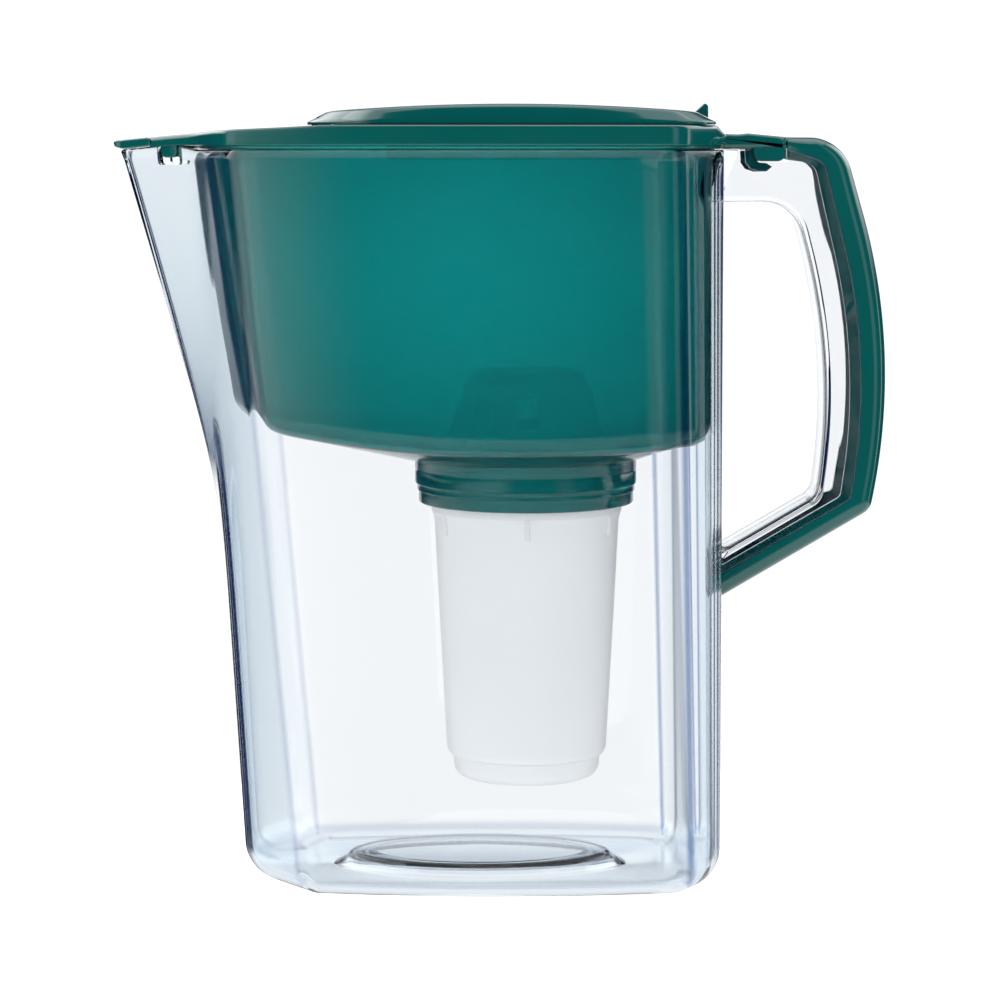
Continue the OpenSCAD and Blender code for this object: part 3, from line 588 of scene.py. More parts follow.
def body_half(z, nose, root, rounds):
    """Near half of the plan at height z, from its nose to the middle of the handle's wall."""
    t = z / JUG_H
    half_w = mix(BASE_W, RIM_W, t) / 2
    corners = [(nose, 0), (nose + NOSE_BOW / 4, -SPOUT_TIP_W / 2),
               (root + NOSE_BOW, -mix(BASE_ROOT_W, RIM_ROOT_W, t) / 2),
               (END_X - mix(BASE_PANEL_L, RIM_PANEL_L, t), -half_w),
               (END_X - mix(BASE_CORNER_L, RIM_CORNER_L, t), -half_w),
               (END_X, -END_W / 2), (END_X, 0)]
    return rounded_outline(corners, [0, 0, SIDE_BOW, PANEL_BOW, END_BOW, 0], rounds, EDGE_STEPS)


def body_nose(z):
    return END_X - mix(BASE_L, RIM_L, z / JUG_H)


def spout_out(z):
    if z < SPOUT_Z:
        return 0.0
    if z < SPOUT_Z + SPOUT_EASE:
        return SPOUT_LEAN * (z - SPOUT_Z) ** 2 / (2 * SPOUT_EASE)
    return SPOUT_LEAN * (z - SPOUT_Z - SPOUT_EASE / 2)


JUG_ROUNDS = [2.4, 6, 3, 4, 6]
JUG_INNER_ROUNDS = [2.4, 6, 5, 22, 14]


def jug_plan(z, rounds=JUG_ROUNDS):
    return mirrored(body_half(z, body_nose(z) - spout_out(z), body_nose(z), rounds))


TIP_X = body_nose(JUG_H) - spout_out(JUG_H)
RISE_X = body_nose(JUG_H) - 6
RISE_END_X = body_nose(JUG_H) + NOSE_BOW


def spout_rim(x):
    return mix(JUG_H, FLANGE_TOP, np.clip((x - TIP_X) / (RISE_X - TIP_X), 0, 1))


def rim(x):
    """Height of the rim. It rises along the spout to the top of the reservoir's flange."""
    fall = mix(FLANGE_TOP, JUG_H, np.minimum(1, (x - RISE_X) / (RISE_END_X - RISE_X)))
    return np.minimum(spout_rim(x), fall)


def edge_turns(r, steps):
    """Height above the lowest point, and how far the edge is drawn in there, for a rounded bottom edge."""
    return [(r * (1 - math.cos(a)), r * (1 - math.sin(a))) for a in np.radians(np.linspace(0, 90, steps + 1))]


# ---------- Jug with its handle frame ----------
RIM_EDGE = [(0, -0.9), (0.25, -0.25), (0.9, 0), (1.6, 0), (2.25, -0.25), (2.5, -0.9)]
WALL_LEVELS = np.linspace(BASE_R, JUG_H - 4, 46)
KICK_CENTRE = np.array([END_X - BASE_L / 2 - 0.4, 0])


def jug_rings(t):
    """Rings of the outer skin, or of the inner one where t is the wall, from the floor up."""
    foot = inset(jug_plan(0), t + BASE_R - t)
    kick = []
    for k in np.linspace(1, 0, 9):
        shape = oval_like(foot, KICK_CENTRE, KICK_L / 2 - KICK_SLOPE * k, KICK_W / 2 - KICK_SLOPE * k)
        kick.append(at_z(shape, KICK_H * smooth_step(k) + t))
    top = [at_z(oval_like(foot, KICK_CENTRE, (KICK_L / 2 - KICK_SLOPE) * k, (KICK_W / 2 - KICK_SLOPE) * k),
                KICK_H + t + 0.5 * (1 - k * k)) for k in (0.02, 0.3, 0.6, 0.85)]
    rounds = JUG_INNER_ROUNDS if t else JUG_ROUNDS
    edge = [at_z(inset(jug_plan(t + h, rounds), t + draw), t + h) for h, draw in edge_turns(BASE_R - t, 12)]
    wall = [at_z(inset(jug_plan(z, rounds), t), z) for z in WALL_LEVELS[1:]]
    return top + kick + edge + wall


def on_spout_wall(side):
    """Places points made about the origin on the spout's wall, where the lid's tongue goes in."""
    tip = np.array([TIP_X + NOSE_BOW / 4, -SPOUT_TIP_W / 2])
    along = unit(np.array([body_nose(JUG_H) + NOSE_BOW, -RIM_ROOT_W / 2]) - tip)
    spot = tip + along * (TONGUE_X - tip[0]) / along[0]

    def place(points):
        u, v = points[:, 0], points[:, 1] + WALL / 2
        x = spot[0] + u * along[0] - v * along[1]
        y = spot[1] + u * along[1] + v * along[0]
        return np.column_stack([x, -y if side else y, points[:, 2]])
    return place


TONGUE_X = TIP_X + 18.2
TONGUE_L, TONGUE_H, NOTCH_PLAY = 8.0, 4.6, 1.5


def rounded_tab(length, depth, top, bottom_r):
    """X-Z outline of a tab that hangs from top to depth, with round lower corners."""
    h = length / 2
    return np.vstack([[[-h, top]], arc((-h + bottom_r, -depth + bottom_r), bottom_r, 180, 270, 6),
                      arc((h - bottom_r, -depth + bottom_r), bottom_r, 270, 360, 6), [[h, top]]])


def notch_tools():
    shape = rounded_tab(TONGUE_L + 2 * NOTCH_PLAY, TONGUE_H + 2.4, 6, 1.2) + [0, LID_Z]
    return [slab(f"notch_{side}", shape, WALL * 1.5, place=on_spout_wall(side)) for side in (0, 1)]


def handle_line(side_d, arm_d, start, top_z, top_r, elbow_r, up, down):
    """Outline from start over the top, down the belly and along the lower arm to the wall."""
    up, down = math.radians(up), math.radians(down)
    centre = np.array([END_X + GRIP_GAP + side_d - BELLY_R, BELLY_Z + side_d / 3])
    u = centre + BELLY_R * np.array([math.cos(up), math.sin(up)])
    v = centre + BELLY_R * np.array([math.cos(down), -math.sin(down)])
    slope = math.tan(ARM_SLOPE)
    foot = np.array([END_X, ARM_Z - arm_d])
    top = u + np.array([-math.sin(up), math.cos(up)]) * (top_z - u[1]) / math.cos(up)
    drop = (v[1] - foot[1] - slope * (v[0] - END_X)) / (math.cos(down) - slope * math.sin(down))
    elbow = v - np.array([math.sin(down), math.cos(down)]) * drop
    start = np.array(start, float)
    belly = arc(centre, BELLY_R, math.degrees(up), -math.degrees(down), 36)
    arm = [mix(elbow, foot, t) for t in (0.45, 0.6, 0.75, 0.9, 1.0)]
    return np.array([start] + fillet(start, top, u, top_r, 14) + list(belly)
                    + fillet(v, elbow, foot, elbow_r, 12) + arm)


GRIP_LINE = handle_line(0, 0, [END_X, GRIP_TOP], GRIP_TOP, 14, 7, 15, 7)
CHANNEL_LINE = handle_line(CHANNEL_T, CHANNEL_T / math.cos(ARM_SLOPE), [END_X, GRIP_TOP + CHANNEL_T],
                           GRIP_TOP + CHANNEL_T, 14 + CHANNEL_T, 7, 15, 7)
COVER_LINE = handle_line(12.2, 7.3, [COVER_X, FRAME_Z], FRAME_Z - 4, 6, 3, 14, 9)
BEYOND_COVER = handle_line(13.2, 8.3, [COVER_X + 1, FRAME_Z + 1], FRAME_Z - 3, 6, 3, 14, 9)
WEB_LINE = handle_line(8.4, 4.4, [COVER_X, FRAME_Z - 3], FRAME_Z - 5.2, 5, 3, 13, 8)
OUTER_LINE = handle_line(HANDLE_REACH - GRIP_GAP, 15.9, [COVER_X, OUTER_TOP], OUTER_TOP, 15, 7, 16, 11)

TAIL_TONGUE_X, TAIL_TONGUE_L, TAIL_TONGUE_H = END_X + 10.6, 10.8, 4.2


def clear_jug():
    outer, inner = jug_rings(0), jug_rings(WALL)
    plan = jug_plan(JUG_H)
    rim_rings = []
    for draw, drop in RIM_EDGE:
        ring = inset(plan, draw)
        rim_rings.append(at_z(ring, rim(ring[:, 0]) + drop))
    jug = loft("clear_jug", outer + rim_rings + inner[::-1], poles=True, sharp=50)
    in_wall = END_X - 0.6
    outline = np.vstack([[[in_wall, FRAME_Z]], COVER_LINE[:-1], [[in_wall, COVER_LINE[-1][1]]],
                         [[in_wall, ARM_Z]], GRIP_LINE[-2:0:-1], [[in_wall, GRIP_TOP]]])
    handle = slab("handle", outline, HANDLE_W / 2, edge=0.6)
    hollow = np.vstack([[[END_X + 3 * CHANNEL_T, FRAME_Z + 1]], BEYOND_COVER, CHANNEL_LINE[::-1]])
    slot = np.array([[-1, -TAIL_TONGUE_H], [TAIL_TONGUE_L + 1, -TAIL_TONGUE_H], [TAIL_TONGUE_L + 1, 2],
                     [-1, 2]]) + [TAIL_TONGUE_X, FRAME_Z]
    carved(handle, [slab("hollow", hollow, HANDLE_W / 2 - CHANNEL_T), slab("slot", slot, HANDLE_W)])
    carved(jug, [handle], "UNION")
    carved(jug, notch_tools(), sharp=50)
    return finished(jug, "clear_plastic", "jug", "jug", "handle_frame")


# ---------- Handle cover ----------
def cover_section(web, edge, outside):
    """Closed section at one station, between its points on the web, the channel's edge and the outside."""
    half, lip = HANDLE_W / 2, HANDLE_W / 2 - CHANNEL_T - 0.1
    deep = 1 - COVER_T / max(np.linalg.norm(outside - edge), COVER_T + 1)
    across = np.sin(np.radians(np.linspace(-90, 90, 33)))
    points = [(edge, -lip)]
    points += [(mix(edge, outside, (1 - abs(s) ** 5) ** (1 / 3.2)), s * half) for s in across]
    points += [(edge, lip), (web, lip), (web, lip - COVER_T)]
    points += [(mix(edge, outside, deep * (1 - abs(s) ** 5)), s * (lip - COVER_T))
               for s in (0.9, 0.75, 0.5, 0.25, 0, -0.25, -0.5, -0.75, -0.9)]
    points += [(web, COVER_T - lip), (web, -lip)]
    return np.array([[p[0], y, p[1]] for p, y in points])


def handle_cover():
    rings = [cover_section(*stations) for stations in zip(WEB_LINE, COVER_LINE, OUTER_LINE)]
    cover = loft("handle_cover_shell", rings[::-1])
    softened(cover, 0.35, angle=50)
    return finished(cover, "green_plastic", "jug", "handle_cover")


# ---------- Reservoir ----------
RES_FLOOR, RES_DRAW, RES_R, RES_WALL = 148.5, 6.5, 8.0, 2.2
RES_INSET, RES_SETBACK, RES_BEAK = WALL + 0.8, 1.2, 4.0
RES_ROUNDS = [3, 7, 9, 10, 11]
SOCKET_Z, SOCKET_R = 129.8, 37.3
BORE_R = 33.5
SEAT_R, SEAT_Z = BORE_R + 3, SOCKET_Z + 11.4
SOCKET_TOP = RES_FLOOR - 4


def res_plan(z):
    root = body_nose(z) + RES_SETBACK + RES_DRAW * (JUG_H - z) / (JUG_H - RES_FLOOR)
    return mirrored(body_half(z, root - RES_BEAK, root, RES_ROUNDS))


def res_ring(z, d):
    """The floor's edge rises away from the socket."""
    ring = inset(res_plan(z), d)
    rise = 0.0012 * (ring[:, 0] - CARTRIDGE_X) ** 2 * max(0, 1 - (z - RES_FLOOR) / 45)
    return at_z(ring, z + rise)


def res_rings(t):
    """Rings from the socket out along the floor and up the wall."""
    r, z0 = RES_R - t * 0.8, RES_FLOOR + t
    edge = [res_ring(z0 + h, RES_INSET + t + draw) for h, draw in edge_turns(r, 8)]
    inner = at_z(oval_like(edge[0], (CARTRIDGE_X, 0), SEAT_R + 0.8, SEAT_R + 0.8), SOCKET_TOP + t)
    floor = [mix(inner, edge[0], k) for k in (0, 0.1, 0.35, 0.65, 0.9)]
    wall = [res_ring(z, RES_INSET + t) for z in np.linspace(z0 + r, JUG_H - 1, 26)[1:]]
    return floor + edge + wall


def reservoir():
    top = res_plan(JUG_H)
    flange = [(RES_INSET, FLANGE_Z - 0.4), (RES_INSET - 0.3, FLANGE_Z), (0.9, FLANGE_Z),
              (0.6, FLANGE_Z + 0.3), (0.6, FLANGE_TOP - 0.3), (0.9, FLANGE_TOP),
              (RES_INSET + RES_WALL - 0.5, FLANGE_TOP),
              (RES_INSET + RES_WALL, FLANGE_TOP - 0.5)]
    rings = res_rings(0) + [at_z(inset(top, d), z) for d, z in flange] + res_rings(RES_WALL)[::-1]
    shell = loft("reservoir_shell", rings, looped=True, sharp=50)
    wall_r = SOCKET_R + 1.3
    bands = [(-0.6, 0), (0, 0.6), (0, 4.0), (0.15, 4.3), (0.5, 4.5), (0.5, 6.4), (0.7, 6.7), (1.3, 7.0),
             (1.3, 11.0), (1.05, 11.25), (1.05, 11.75), (1.3, 12.0)]
    collar = turned("socket", [
        (BORE_R, SOCKET_Z + 0.5), (BORE_R + 0.5, SOCKET_Z), *[(SOCKET_R + r, SOCKET_Z + h) for r, h in bands],
        (wall_r, SOCKET_TOP + 1), (wall_r + 1.2, SOCKET_TOP + RES_WALL), (SEAT_R, SOCKET_TOP + RES_WALL),
        (SEAT_R, SEAT_Z), (BORE_R, SEAT_Z)])
    piece = joined("reservoir_tank", [shell, collar], sharp=50)
    return finished(piece, "tinted_plastic", "reservoir", "reservoir")


# ---------- Cartridge ----------
CUP_Z, CAP_Z = 42.0, 34.0
CUP_R, CUP_BASE_R, CUP_T, CAP_R = 31.9, 27.7, 1.8, 25.3
FLARE_Z, FLARE_R = SOCKET_Z - 3, BORE_R - 0.6
NECK_Z = FLARE_Z - 3
CUP_TOP = SEAT_Z + SEAT_GAP + 1.8
SEAL_Z, SEAL_D = SOCKET_Z + 6, 2.4
GROOVE_R = FLARE_R + 0.45 - SEAL_D
CUP_IN_R = GROOVE_R - 1.2


def around_axis_tree():
    """Repeats a shape about an upright axis."""
    tree = bpy.data.node_groups.new("around_axis", "GeometryNodeTree")
    face = tree.interface
    face.new_socket("Geometry", in_out="INPUT", socket_type="NodeSocketGeometry")
    for name, kind in (("Count", "Int"), ("Radius", "Float"), ("First angle", "Float"),
                       ("Step angle", "Float"), ("Centre", "Vector"), ("Material", "Material")):
        face.new_socket(name, in_out="INPUT", socket_type=f"NodeSocket{kind}")
    face.new_socket("Geometry", in_out="OUTPUT", socket_type="NodeSocketGeometry")
    given = {s.name: Wire(tree, s) for s in tree.nodes.new("NodeGroupInput").outputs}

    step = wired(tree)
    turn = given["First angle"] + step("GeometryNodeInputIndex") * given["Step angle"]
    across = turn.calc("COSINE", turn) * given["Radius"]
    along = turn.calc("SINE", turn) * given["Radius"]
    offset = step("ShaderNodeCombineXYZ", None, {"X": across, "Y": along})
    spot = step("ShaderNodeVectorMath", {"operation": "ADD"}, {0: offset, 1: given["Centre"]})
    points = step("GeometryNodePoints", None, {"Count": given["Count"], "Position": spot})
    turned_by = step("ShaderNodeCombineXYZ", None, {"Z": turn})
    copies = step("GeometryNodeInstanceOnPoints", None,
                  {"Points": points, "Instance": given["Geometry"], "Rotation": turned_by})
    solid = step("GeometryNodeRealizeInstances", None, {"Geometry": copies})
    painted = step("GeometryNodeSetMaterial", None, {"Geometry": solid, "Material": given["Material"]})
    result = tree.nodes.new("NodeGroupOutput")
    tree.links.new(painted.socket, result.inputs[0])
    return tree


AROUND_AXIS = around_axis_tree()


def repeated(piece, count, radius, first, step, centre, slot):
    """The piece repeated about an upright axis. It is made about the origin, with its outside towards +X."""
    change = piece.modifiers.new("around_axis", "NODES")
    change.node_group = AROUND_AXIS
    values = {"Count": count, "Radius": radius * MM, "First angle": math.radians(first),
              "Step angle": math.radians(step), "Centre": [v * MM for v in centre],
              "Material": FINISHES[slot]}
    for socket in AROUND_AXIS.interface.items_tree:
        if socket.in_out == "INPUT" and socket.name in values:
            change[socket.identifier] = values[socket.name]
    return settled(piece)


def block(name, low, high, edge=0.2):
    """Box with softened edges between two corners."""
    (x0, y0, z0), (x1, y1, z1) = low, high
    outline = [(x0, z0), (x1, z0), (x1, z1), (x0, z1)]
    points = []
    for i in range(4):
        a, b, c = [np.array(outline[k % 4], float) for k in (i - 1, i, i + 1)]
        points += fillet(a, b, c, edge, 3)
    return slab(name, points, (y1 - y0) / 2, edge=edge, y=(y0 + y1) / 2)


def cartridge_cup():
    cup = turned("cup_wall", [
        (CAP_R, CUP_Z), (CUP_BASE_R - 1.5, CUP_Z), (CUP_BASE_R - 0.7, CUP_Z + 0.5),
        (CUP_BASE_R - 0.1, CUP_Z + 2), (CUP_BASE_R, CUP_Z + 3),
        (mix(CUP_BASE_R, CUP_R, 0.5), mix(CUP_Z + 2.5, NECK_Z, 0.5)), (CUP_R, NECK_Z),
        (CUP_R + 0.3, NECK_Z + 1.1), (FLARE_R - 0.3, FLARE_Z - 0.4), (FLARE_R, FLARE_Z),
        (FLARE_R, SEAL_Z - SEAL_D / 2), (GROOVE_R, SEAL_Z - SEAL_D / 2), (GROOVE_R, SEAL_Z + SEAL_D / 2),
        (FLARE_R, SEAL_Z + SEAL_D / 2), (FLARE_R, SEAT_Z + SEAT_GAP), (SEAT_R - 0.6, SEAT_Z + SEAT_GAP),
        (SEAT_R - 0.4, SEAT_Z + SEAT_GAP + 0.2), (SEAT_R - 0.4, CUP_TOP - 0.4), (SEAT_R - 0.8, CUP_TOP),
        (CUP_IN_R, CUP_TOP), (CUP_IN_R, NECK_Z), (CUP_BASE_R - CUP_T, CUP_Z + 4), (CAP_R, CUP_Z + 4)])
    rib = block("rib", (-1.2, -0.8, -7), (FLARE_R - CUP_R, 0.8, 0.6), 0.35)
    ribs = repeated(rib, 6, CUP_R, 30, 60, (CARTRIDGE_X, 0, FLARE_Z), "white_plastic")
    return finished(joined("cup", [cup, ribs]), "white_plastic", "cartridge", "cartridge_cup")


def base_cap():
    cap = turned("cap", [
        (0.5, CAP_Z), (CAP_R - 4.6, CAP_Z), (CAP_R - 3.2, CAP_Z + 0.25), (CAP_R - 1.4, CAP_Z + 1.1),
        (CAP_R - 0.4, CAP_Z + 2.6), (CAP_R, CAP_Z + 4.2), (CAP_R, CUP_Z + 6), (CAP_R - 1.6, CUP_Z + 6),
        (CAP_R - 1.6, CAP_Z + 4), (CAP_R - 4, CAP_Z + 2), (0.5, CAP_Z + 2)], looped=False)
    slot = block("slot", (0, -0.8, -1), (CAP_R * 0.4, 0.8, 3), 0.5)
    slots = repeated(slot, 12, CAP_R * 0.35, 0, 30, (CARTRIDGE_X, 0, CAP_Z), "white_plastic")
    return finished(carved(cap, [slots]), "white_plastic", "cartridge", "cartridge_base_cap")


# ---------- Lid ----------
FLAP_L = 13.4
SEAM_X = TIP_X - 2.2 + FLAP_L
TAIL_X = END_X + TAIL_L
FILL_L, FILL_W, FILL_R = 128.0, 82.0, 21.0
FILL_X = END_X - 13.5 - FILL_L
HINGE_X, HINGE_Z = FILL_X + 5.5, LID_TOP - 1.1
BARREL_R, LUG_R, LUG_W, LUG_Y, HINGE_GAP = 2.6, 2.3, 7.0, 22.0, 0.4
FLAP_X = SEAM_X - 0.9
FLAP_TOP = LID_Z + 2.2
FLAP_UNDER = float(spout_rim(FLAP_X)) + SEAT_GAP
FLAP_R = (FLAP_TOP - FLAP_UNDER) / 2
FLAP_Z = (FLAP_TOP + FLAP_UNDER) / 2
FLAP_GAP, FLAP_LUG_W = 0.3, 8.0
SKIRT_H, SKIRT_T, SKIRT_GAP = 5.5, 1.5, 1.0

LID_PROFILE = np.array([
    [SEAM_X, FLAP_TOP], [TIP_X + 25, LID_Z + 3.3], [TIP_X + 36, LID_Z + 4.4], [FILL_X - 1, LID_TOP - 0.6],
    [FILL_X + 8, LID_TOP], [END_X - 3.2, LID_TOP], [END_X - 1, LID_Z + 4], [END_X + 0.6, LID_Z + 3.4],
    [END_X + 6, LID_Z + 3.2], [END_X + 8.4, LID_Z + 3.6], [TAIL_X, LID_Z + 2.3]])


def lid_top(x):
    return np.interp(x, LID_PROFILE[:, 0], LID_PROFILE[:, 1])


def lid_under(x):
    return np.where(x < RISE_X, spout_rim(x) + SEAT_GAP, LID_Z)


def toward(ring, shape, centre):
    """The point of a shape in the direction of each point of a ring, seen from the centre."""
    there = shape - centre
    angle = np.unwrap(np.arctan2(there[:, 1], there[:, 0]))
    turn = 2 * math.pi * np.sign(angle[-1] - angle[0])
    angles = np.concatenate([angle - turn, angle, angle + turn])
    order = np.argsort(angles)
    around = np.vstack([there] * 3)[order]
    wanted = np.arctan2(ring[:, 1] - centre[1], ring[:, 0] - centre[0])
    return centre + np.stack([np.interp(wanted, angles[order], around[:, k]) for k in (0, 1)], axis=1)


def lid_plate():
    plan = inset(jug_plan(JUG_H), -LID_LIP)
    centre = np.array([FILL_X + FILL_L / 2, 0])
    opening = toward(plan, oblong(FILL_X, FILL_X + FILL_L, FILL_W, FILL_R, 10, 24), centre)

    def rim_ring(draw, height, share):
        ring = inset(plan, draw)
        ring[:, 0] = np.maximum(ring[:, 0], SEAM_X)
        low, high = lid_under(ring[:, 0]), lid_top(ring[:, 0])
        return at_z(ring, mix(low, high, share) + height)

    def fill_ring(grow, z, share=0.0):
        ring = opening + (opening - centre) * grow / np.linalg.norm(opening - centre, axis=1)[:, None]
        return at_z(ring, z + share * (lid_top(ring[:, 0]) - LID_TOP))

    lip = [rim_ring(LID_LIP, 0, 0), rim_ring(LID_LIP, 0.1 - LIP_H, 0), rim_ring(0.5, -LIP_H, 0)]
    side = lip + [rim_ring(0.1, 0.1 - LIP_H, 0), rim_ring(0, 0.4 - LIP_H, 0), rim_ring(0, 0, 0.4)]
    edge = [rim_ring(r, h, 1) for r, h in ((0, -1.4), (0.12, -0.8), (0.42, -0.35), (0.85, -0.1), (1.5, 0))]
    inner = [fill_ring(0.5, LID_TOP, 1), fill_ring(0.1, LID_TOP - 0.15, 1), fill_ring(0, LID_TOP - 0.5, 1),
             fill_ring(0, LID_Z + 0.3), fill_ring(0.3, LID_Z)]
    middle = []
    for k in (0.25, 0.5, 0.75):
        ring = mix(edge[-1], inner[0], k)
        middle.append(at_z(ring, lid_top(ring[:, 0])))
    plate = loft("plate", side + edge + middle + inner, looped=True, sharp=40)
    pocket = oblong(FILL_X - 0.2, FILL_X + 30, 76, 8, 2)
    tool = loft("pocket", [at_z(pocket, LID_TOP - 4.2), at_z(pocket, LID_TOP + 3)])
    return carved(plate, [tool, rod("hollow", FLAP_X, FLAP_Z, FLAP_R + FLAP_GAP, RIM_W)], sharp=40)


def lid_tail():
    xs = np.concatenate([[END_X - 3], np.linspace(END_X + 0.3, TAIL_X, 14)])
    top = [(x, lid_top(max(x, END_X + 0.3))) for x in xs]
    outline = top + [(TAIL_X, TAIL_Z + 0.3), (TAIL_X - 0.3, TAIL_Z), (END_X + SEAT_GAP, TAIL_Z),
                     (END_X + SEAT_GAP, LID_Z + 0.5), (END_X - 3, LID_Z + 0.5)]
    return slab("tail", outline, HANDLE_W / 2, edge=1.6, sharp=40)


def hanging_parts():
    """Tongues in the notches and over the handle, and hooks in the handle's channel."""
    tongue = rounded_tab(TONGUE_L, TONGUE_H, 0.6, 2.6) + [0, LID_Z]
    parts = [slab(f"tongue_{side}", tongue, WALL / 2 - 0.25, edge=0.4, place=on_spout_wall(side))
             for side in (0, 1)]
    over = rounded_tab(TAIL_TONGUE_L, TAIL_TONGUE_H, 0.8, 2.8) + [TAIL_TONGUE_X + TAIL_TONGUE_L / 2, TAIL_Z]
    hook = np.array([(0, 1), (0.4, -4.5), (2, -6.6), (5, -7.6), (7.5, -7.6), (9.4, -6), (7.5, -4.8),
                     (5, -4.6), (3.6, -3.4), (3.2, 1)]) + [END_X + 7.6, TAIL_Z]
    for s in (-1, 1):
        parts.append(slab("over", over, CHANNEL_T / 2 - 0.1, edge=0.3, y=s * (HANDLE_W - CHANNEL_T) / 2))
        parts.append(slab("hook", hook, 1, edge=0.3, y=s * (HANDLE_W / 2 - CHANNEL_T - 1.6)))
    return parts


def lid_skirt():
    ring = inset(res_plan(JUG_H), RES_INSET + RES_WALL + SKIRT_GAP)
    low = LID_Z - SKIRT_H
    steps = [(0, LID_Z + 0.3), (0, low + 0.5), (0.15, low + 0.15), (0.5, low), (SKIRT_T - 0.5, low),
             (SKIRT_T - 0.15, low + 0.15), (SKIRT_T, low + 0.5), (SKIRT_T, LID_Z + 0.3)]
    skirt = loft("skirt", [at_z(inset(ring, d), z) for d, z in steps], looped=True, sharp=50)
    x, y = END_X - RIM_PANEL_L, RIM_W / 2
    gaps = [block("gap", (x - 14, s * y - 14, low - 1), (x + 52, s * y + 14, LID_Z + 1)) for s in (-1, 1)]
    return carved(skirt, gaps, sharp=50)


def hinge_lugs():
    parts = []
    for s in (-1, 1):
        y = s * LUG_Y
        arm = [(FILL_X - 3, LID_Z - 2.6), (HINGE_X + LUG_R, LID_Z - 2.6), (HINGE_X + LUG_R, HINGE_Z),
               (HINGE_X - 0.5, HINGE_Z), (HINGE_X - 0.5, LID_Z), (FILL_X, LID_Z), (FILL_X, LID_Z + 1),
               (FILL_X - 3, LID_Z + 1)]
        parts.append(slab("arm", arm, LUG_W / 2, edge=0.3, y=y))
        parts.append(rod("lug", HINGE_X, HINGE_Z, LUG_R, LUG_W, y=y))
    stem = [(FLAP_X, FLAP_UNDER), (SEAM_X + 2, FLAP_UNDER + 0.2), (SEAM_X + 2, FLAP_TOP), (FLAP_X, FLAP_TOP)]
    parts.append(slab("stem", stem, FLAP_LUG_W / 2))
    parts.append(rod("stem_end", FLAP_X, FLAP_Z, FLAP_R, FLAP_LUG_W))
    return parts


def lid():
    parts = [lid_plate(), lid_tail(), lid_skirt()] + hanging_parts() + hinge_lugs()
    piece = joined("lid", parts, sharp=40)
    return finished(piece, "green_plastic", "lid", "lid_base", "lid_nose", "lid_skirt", "lid_catches")


# ---------- Flip lid ----------
FLIP_X0 = FILL_X + 1
FLIP_L, FLIP_W, FLIP_H, FLIP_T = 137.0, 92.0, 7.5, 2.0
FLIP_X1 = FLIP_X0 + FLIP_L
FLIP_Z = LID_TOP + SEAT_GAP
FLIP_TOP = FLIP_Z + FLIP_H
FLIP_BEVEL, FLIP_SIDE_BEVEL = 7.0, 3.6
FLIP_CENTRE = np.array([(FLIP_X0 + FLIP_X1) / 2, 0])
TAB_H, TAB_W = 5.0, 14.0


def flip_plan(k, d):
    """Outline of the flip lid, drawn in by the share k of its bevel and then by d."""
    e, r = k * FLIP_BEVEL + d, 1 - k * 0.22
    width = FLIP_W - 2 * (k * FLIP_SIDE_BEVEL + d)
    return oblong(FLIP_X0 + e, FLIP_X1 - e, width, 25 * r - d, 14 * r - d, 18)


def crown(ring):
    along = (ring[:, 0] - FLIP_CENTRE[0]) / (FLIP_L / 2 - FLIP_BEVEL)
    return FLIP_TOP - 2.6 * along ** 2 - 0.8 * (ring[:, 1] / (FLIP_W / 2)) ** 2


def flip_rings(t):
    """Skin from the edge to the middle of the top, drawn in by t."""
    def on_crown(ring, drop):
        return at_z(ring, crown(ring) - drop - t)
    foot = at_z(flip_plan(0, t + 0.1), FLIP_Z + 0.95)
    knee = on_crown(flip_plan(1, t * 0.8), 0.0)
    flat = on_crown(flip_plan(1, 3 + t * 0.8), 0.0)
    bend = mix(foot, knee, 0.8)
    edge = [at_z(flip_plan(0, t + 0.25), FLIP_Z), at_z(flip_plan(0, t + 0.05), FLIP_Z + 0.15),
            at_z(flip_plan(0, t), FLIP_Z + 0.4), at_z(flip_plan(0, t), FLIP_Z + 0.75), foot]
    face = [mix(foot, knee, k) for k in (0.2, 0.4, 0.6)]
    curve = [bend * (1 - u) ** 2 + knee * 2 * u * (1 - u) + flat * u * u for u in np.linspace(0, 1, 8)]
    shrink = [FLIP_CENTRE + (flat[:, :2] - FLIP_CENTRE) * k for k in (0.85, 0.7, 0.55, 0.4, 0.25, 0.1)]
    return edge + face + curve + [on_crown(ring, 0) for ring in shrink]


def flip_lid():
    shell = loft("flip_shell", flip_rings(FLIP_T)[::-1] + flip_rings(0), poles=True, sharp=40)
    room_r, room_w = LUG_R + HINGE_GAP, LUG_W + 2 * HINGE_GAP
    carved(shell, [rod("room", HINGE_X, HINGE_Z, room_r, room_w, y=s * LUG_Y) for s in (-1, 1)], sharp=40)
    parts = [shell]
    side_y = LUG_Y + LUG_W / 2 + HINGE_GAP + 2
    for y, w in ((0, 2 * (LUG_Y - LUG_W / 2 - HINGE_GAP)), (side_y, 4), (-side_y, 4)):
        web = [(HINGE_X - 0.6, HINGE_Z), (HINGE_X - 0.6, FLIP_Z + 2.5), (HINGE_X + 3.4, FLIP_Z + 4.2),
               (HINGE_X + BARREL_R, HINGE_Z)]
        parts += [rod("knuckle", HINGE_X, HINGE_Z, BARREL_R, w, y=y), slab("web", web, w / 2, y=y)]
    tab = np.array([(-6, 4), (-2.5, 2.2 + TAB_H), (-1.9, 2.4 + TAB_H), (-1.2, 2.0 + TAB_H),
                    (-0.9, 1.3 + TAB_H), (-0.9, 0.9), (-3, 1.2)]) + [FLIP_X1, FLIP_Z]
    parts.append(slab("tab", tab, TAB_W / 2, edge=0.5))
    return finished(joined("flip_lid_shell", parts, sharp=40), "green_plastic", "flip_lid", "flip_lid")


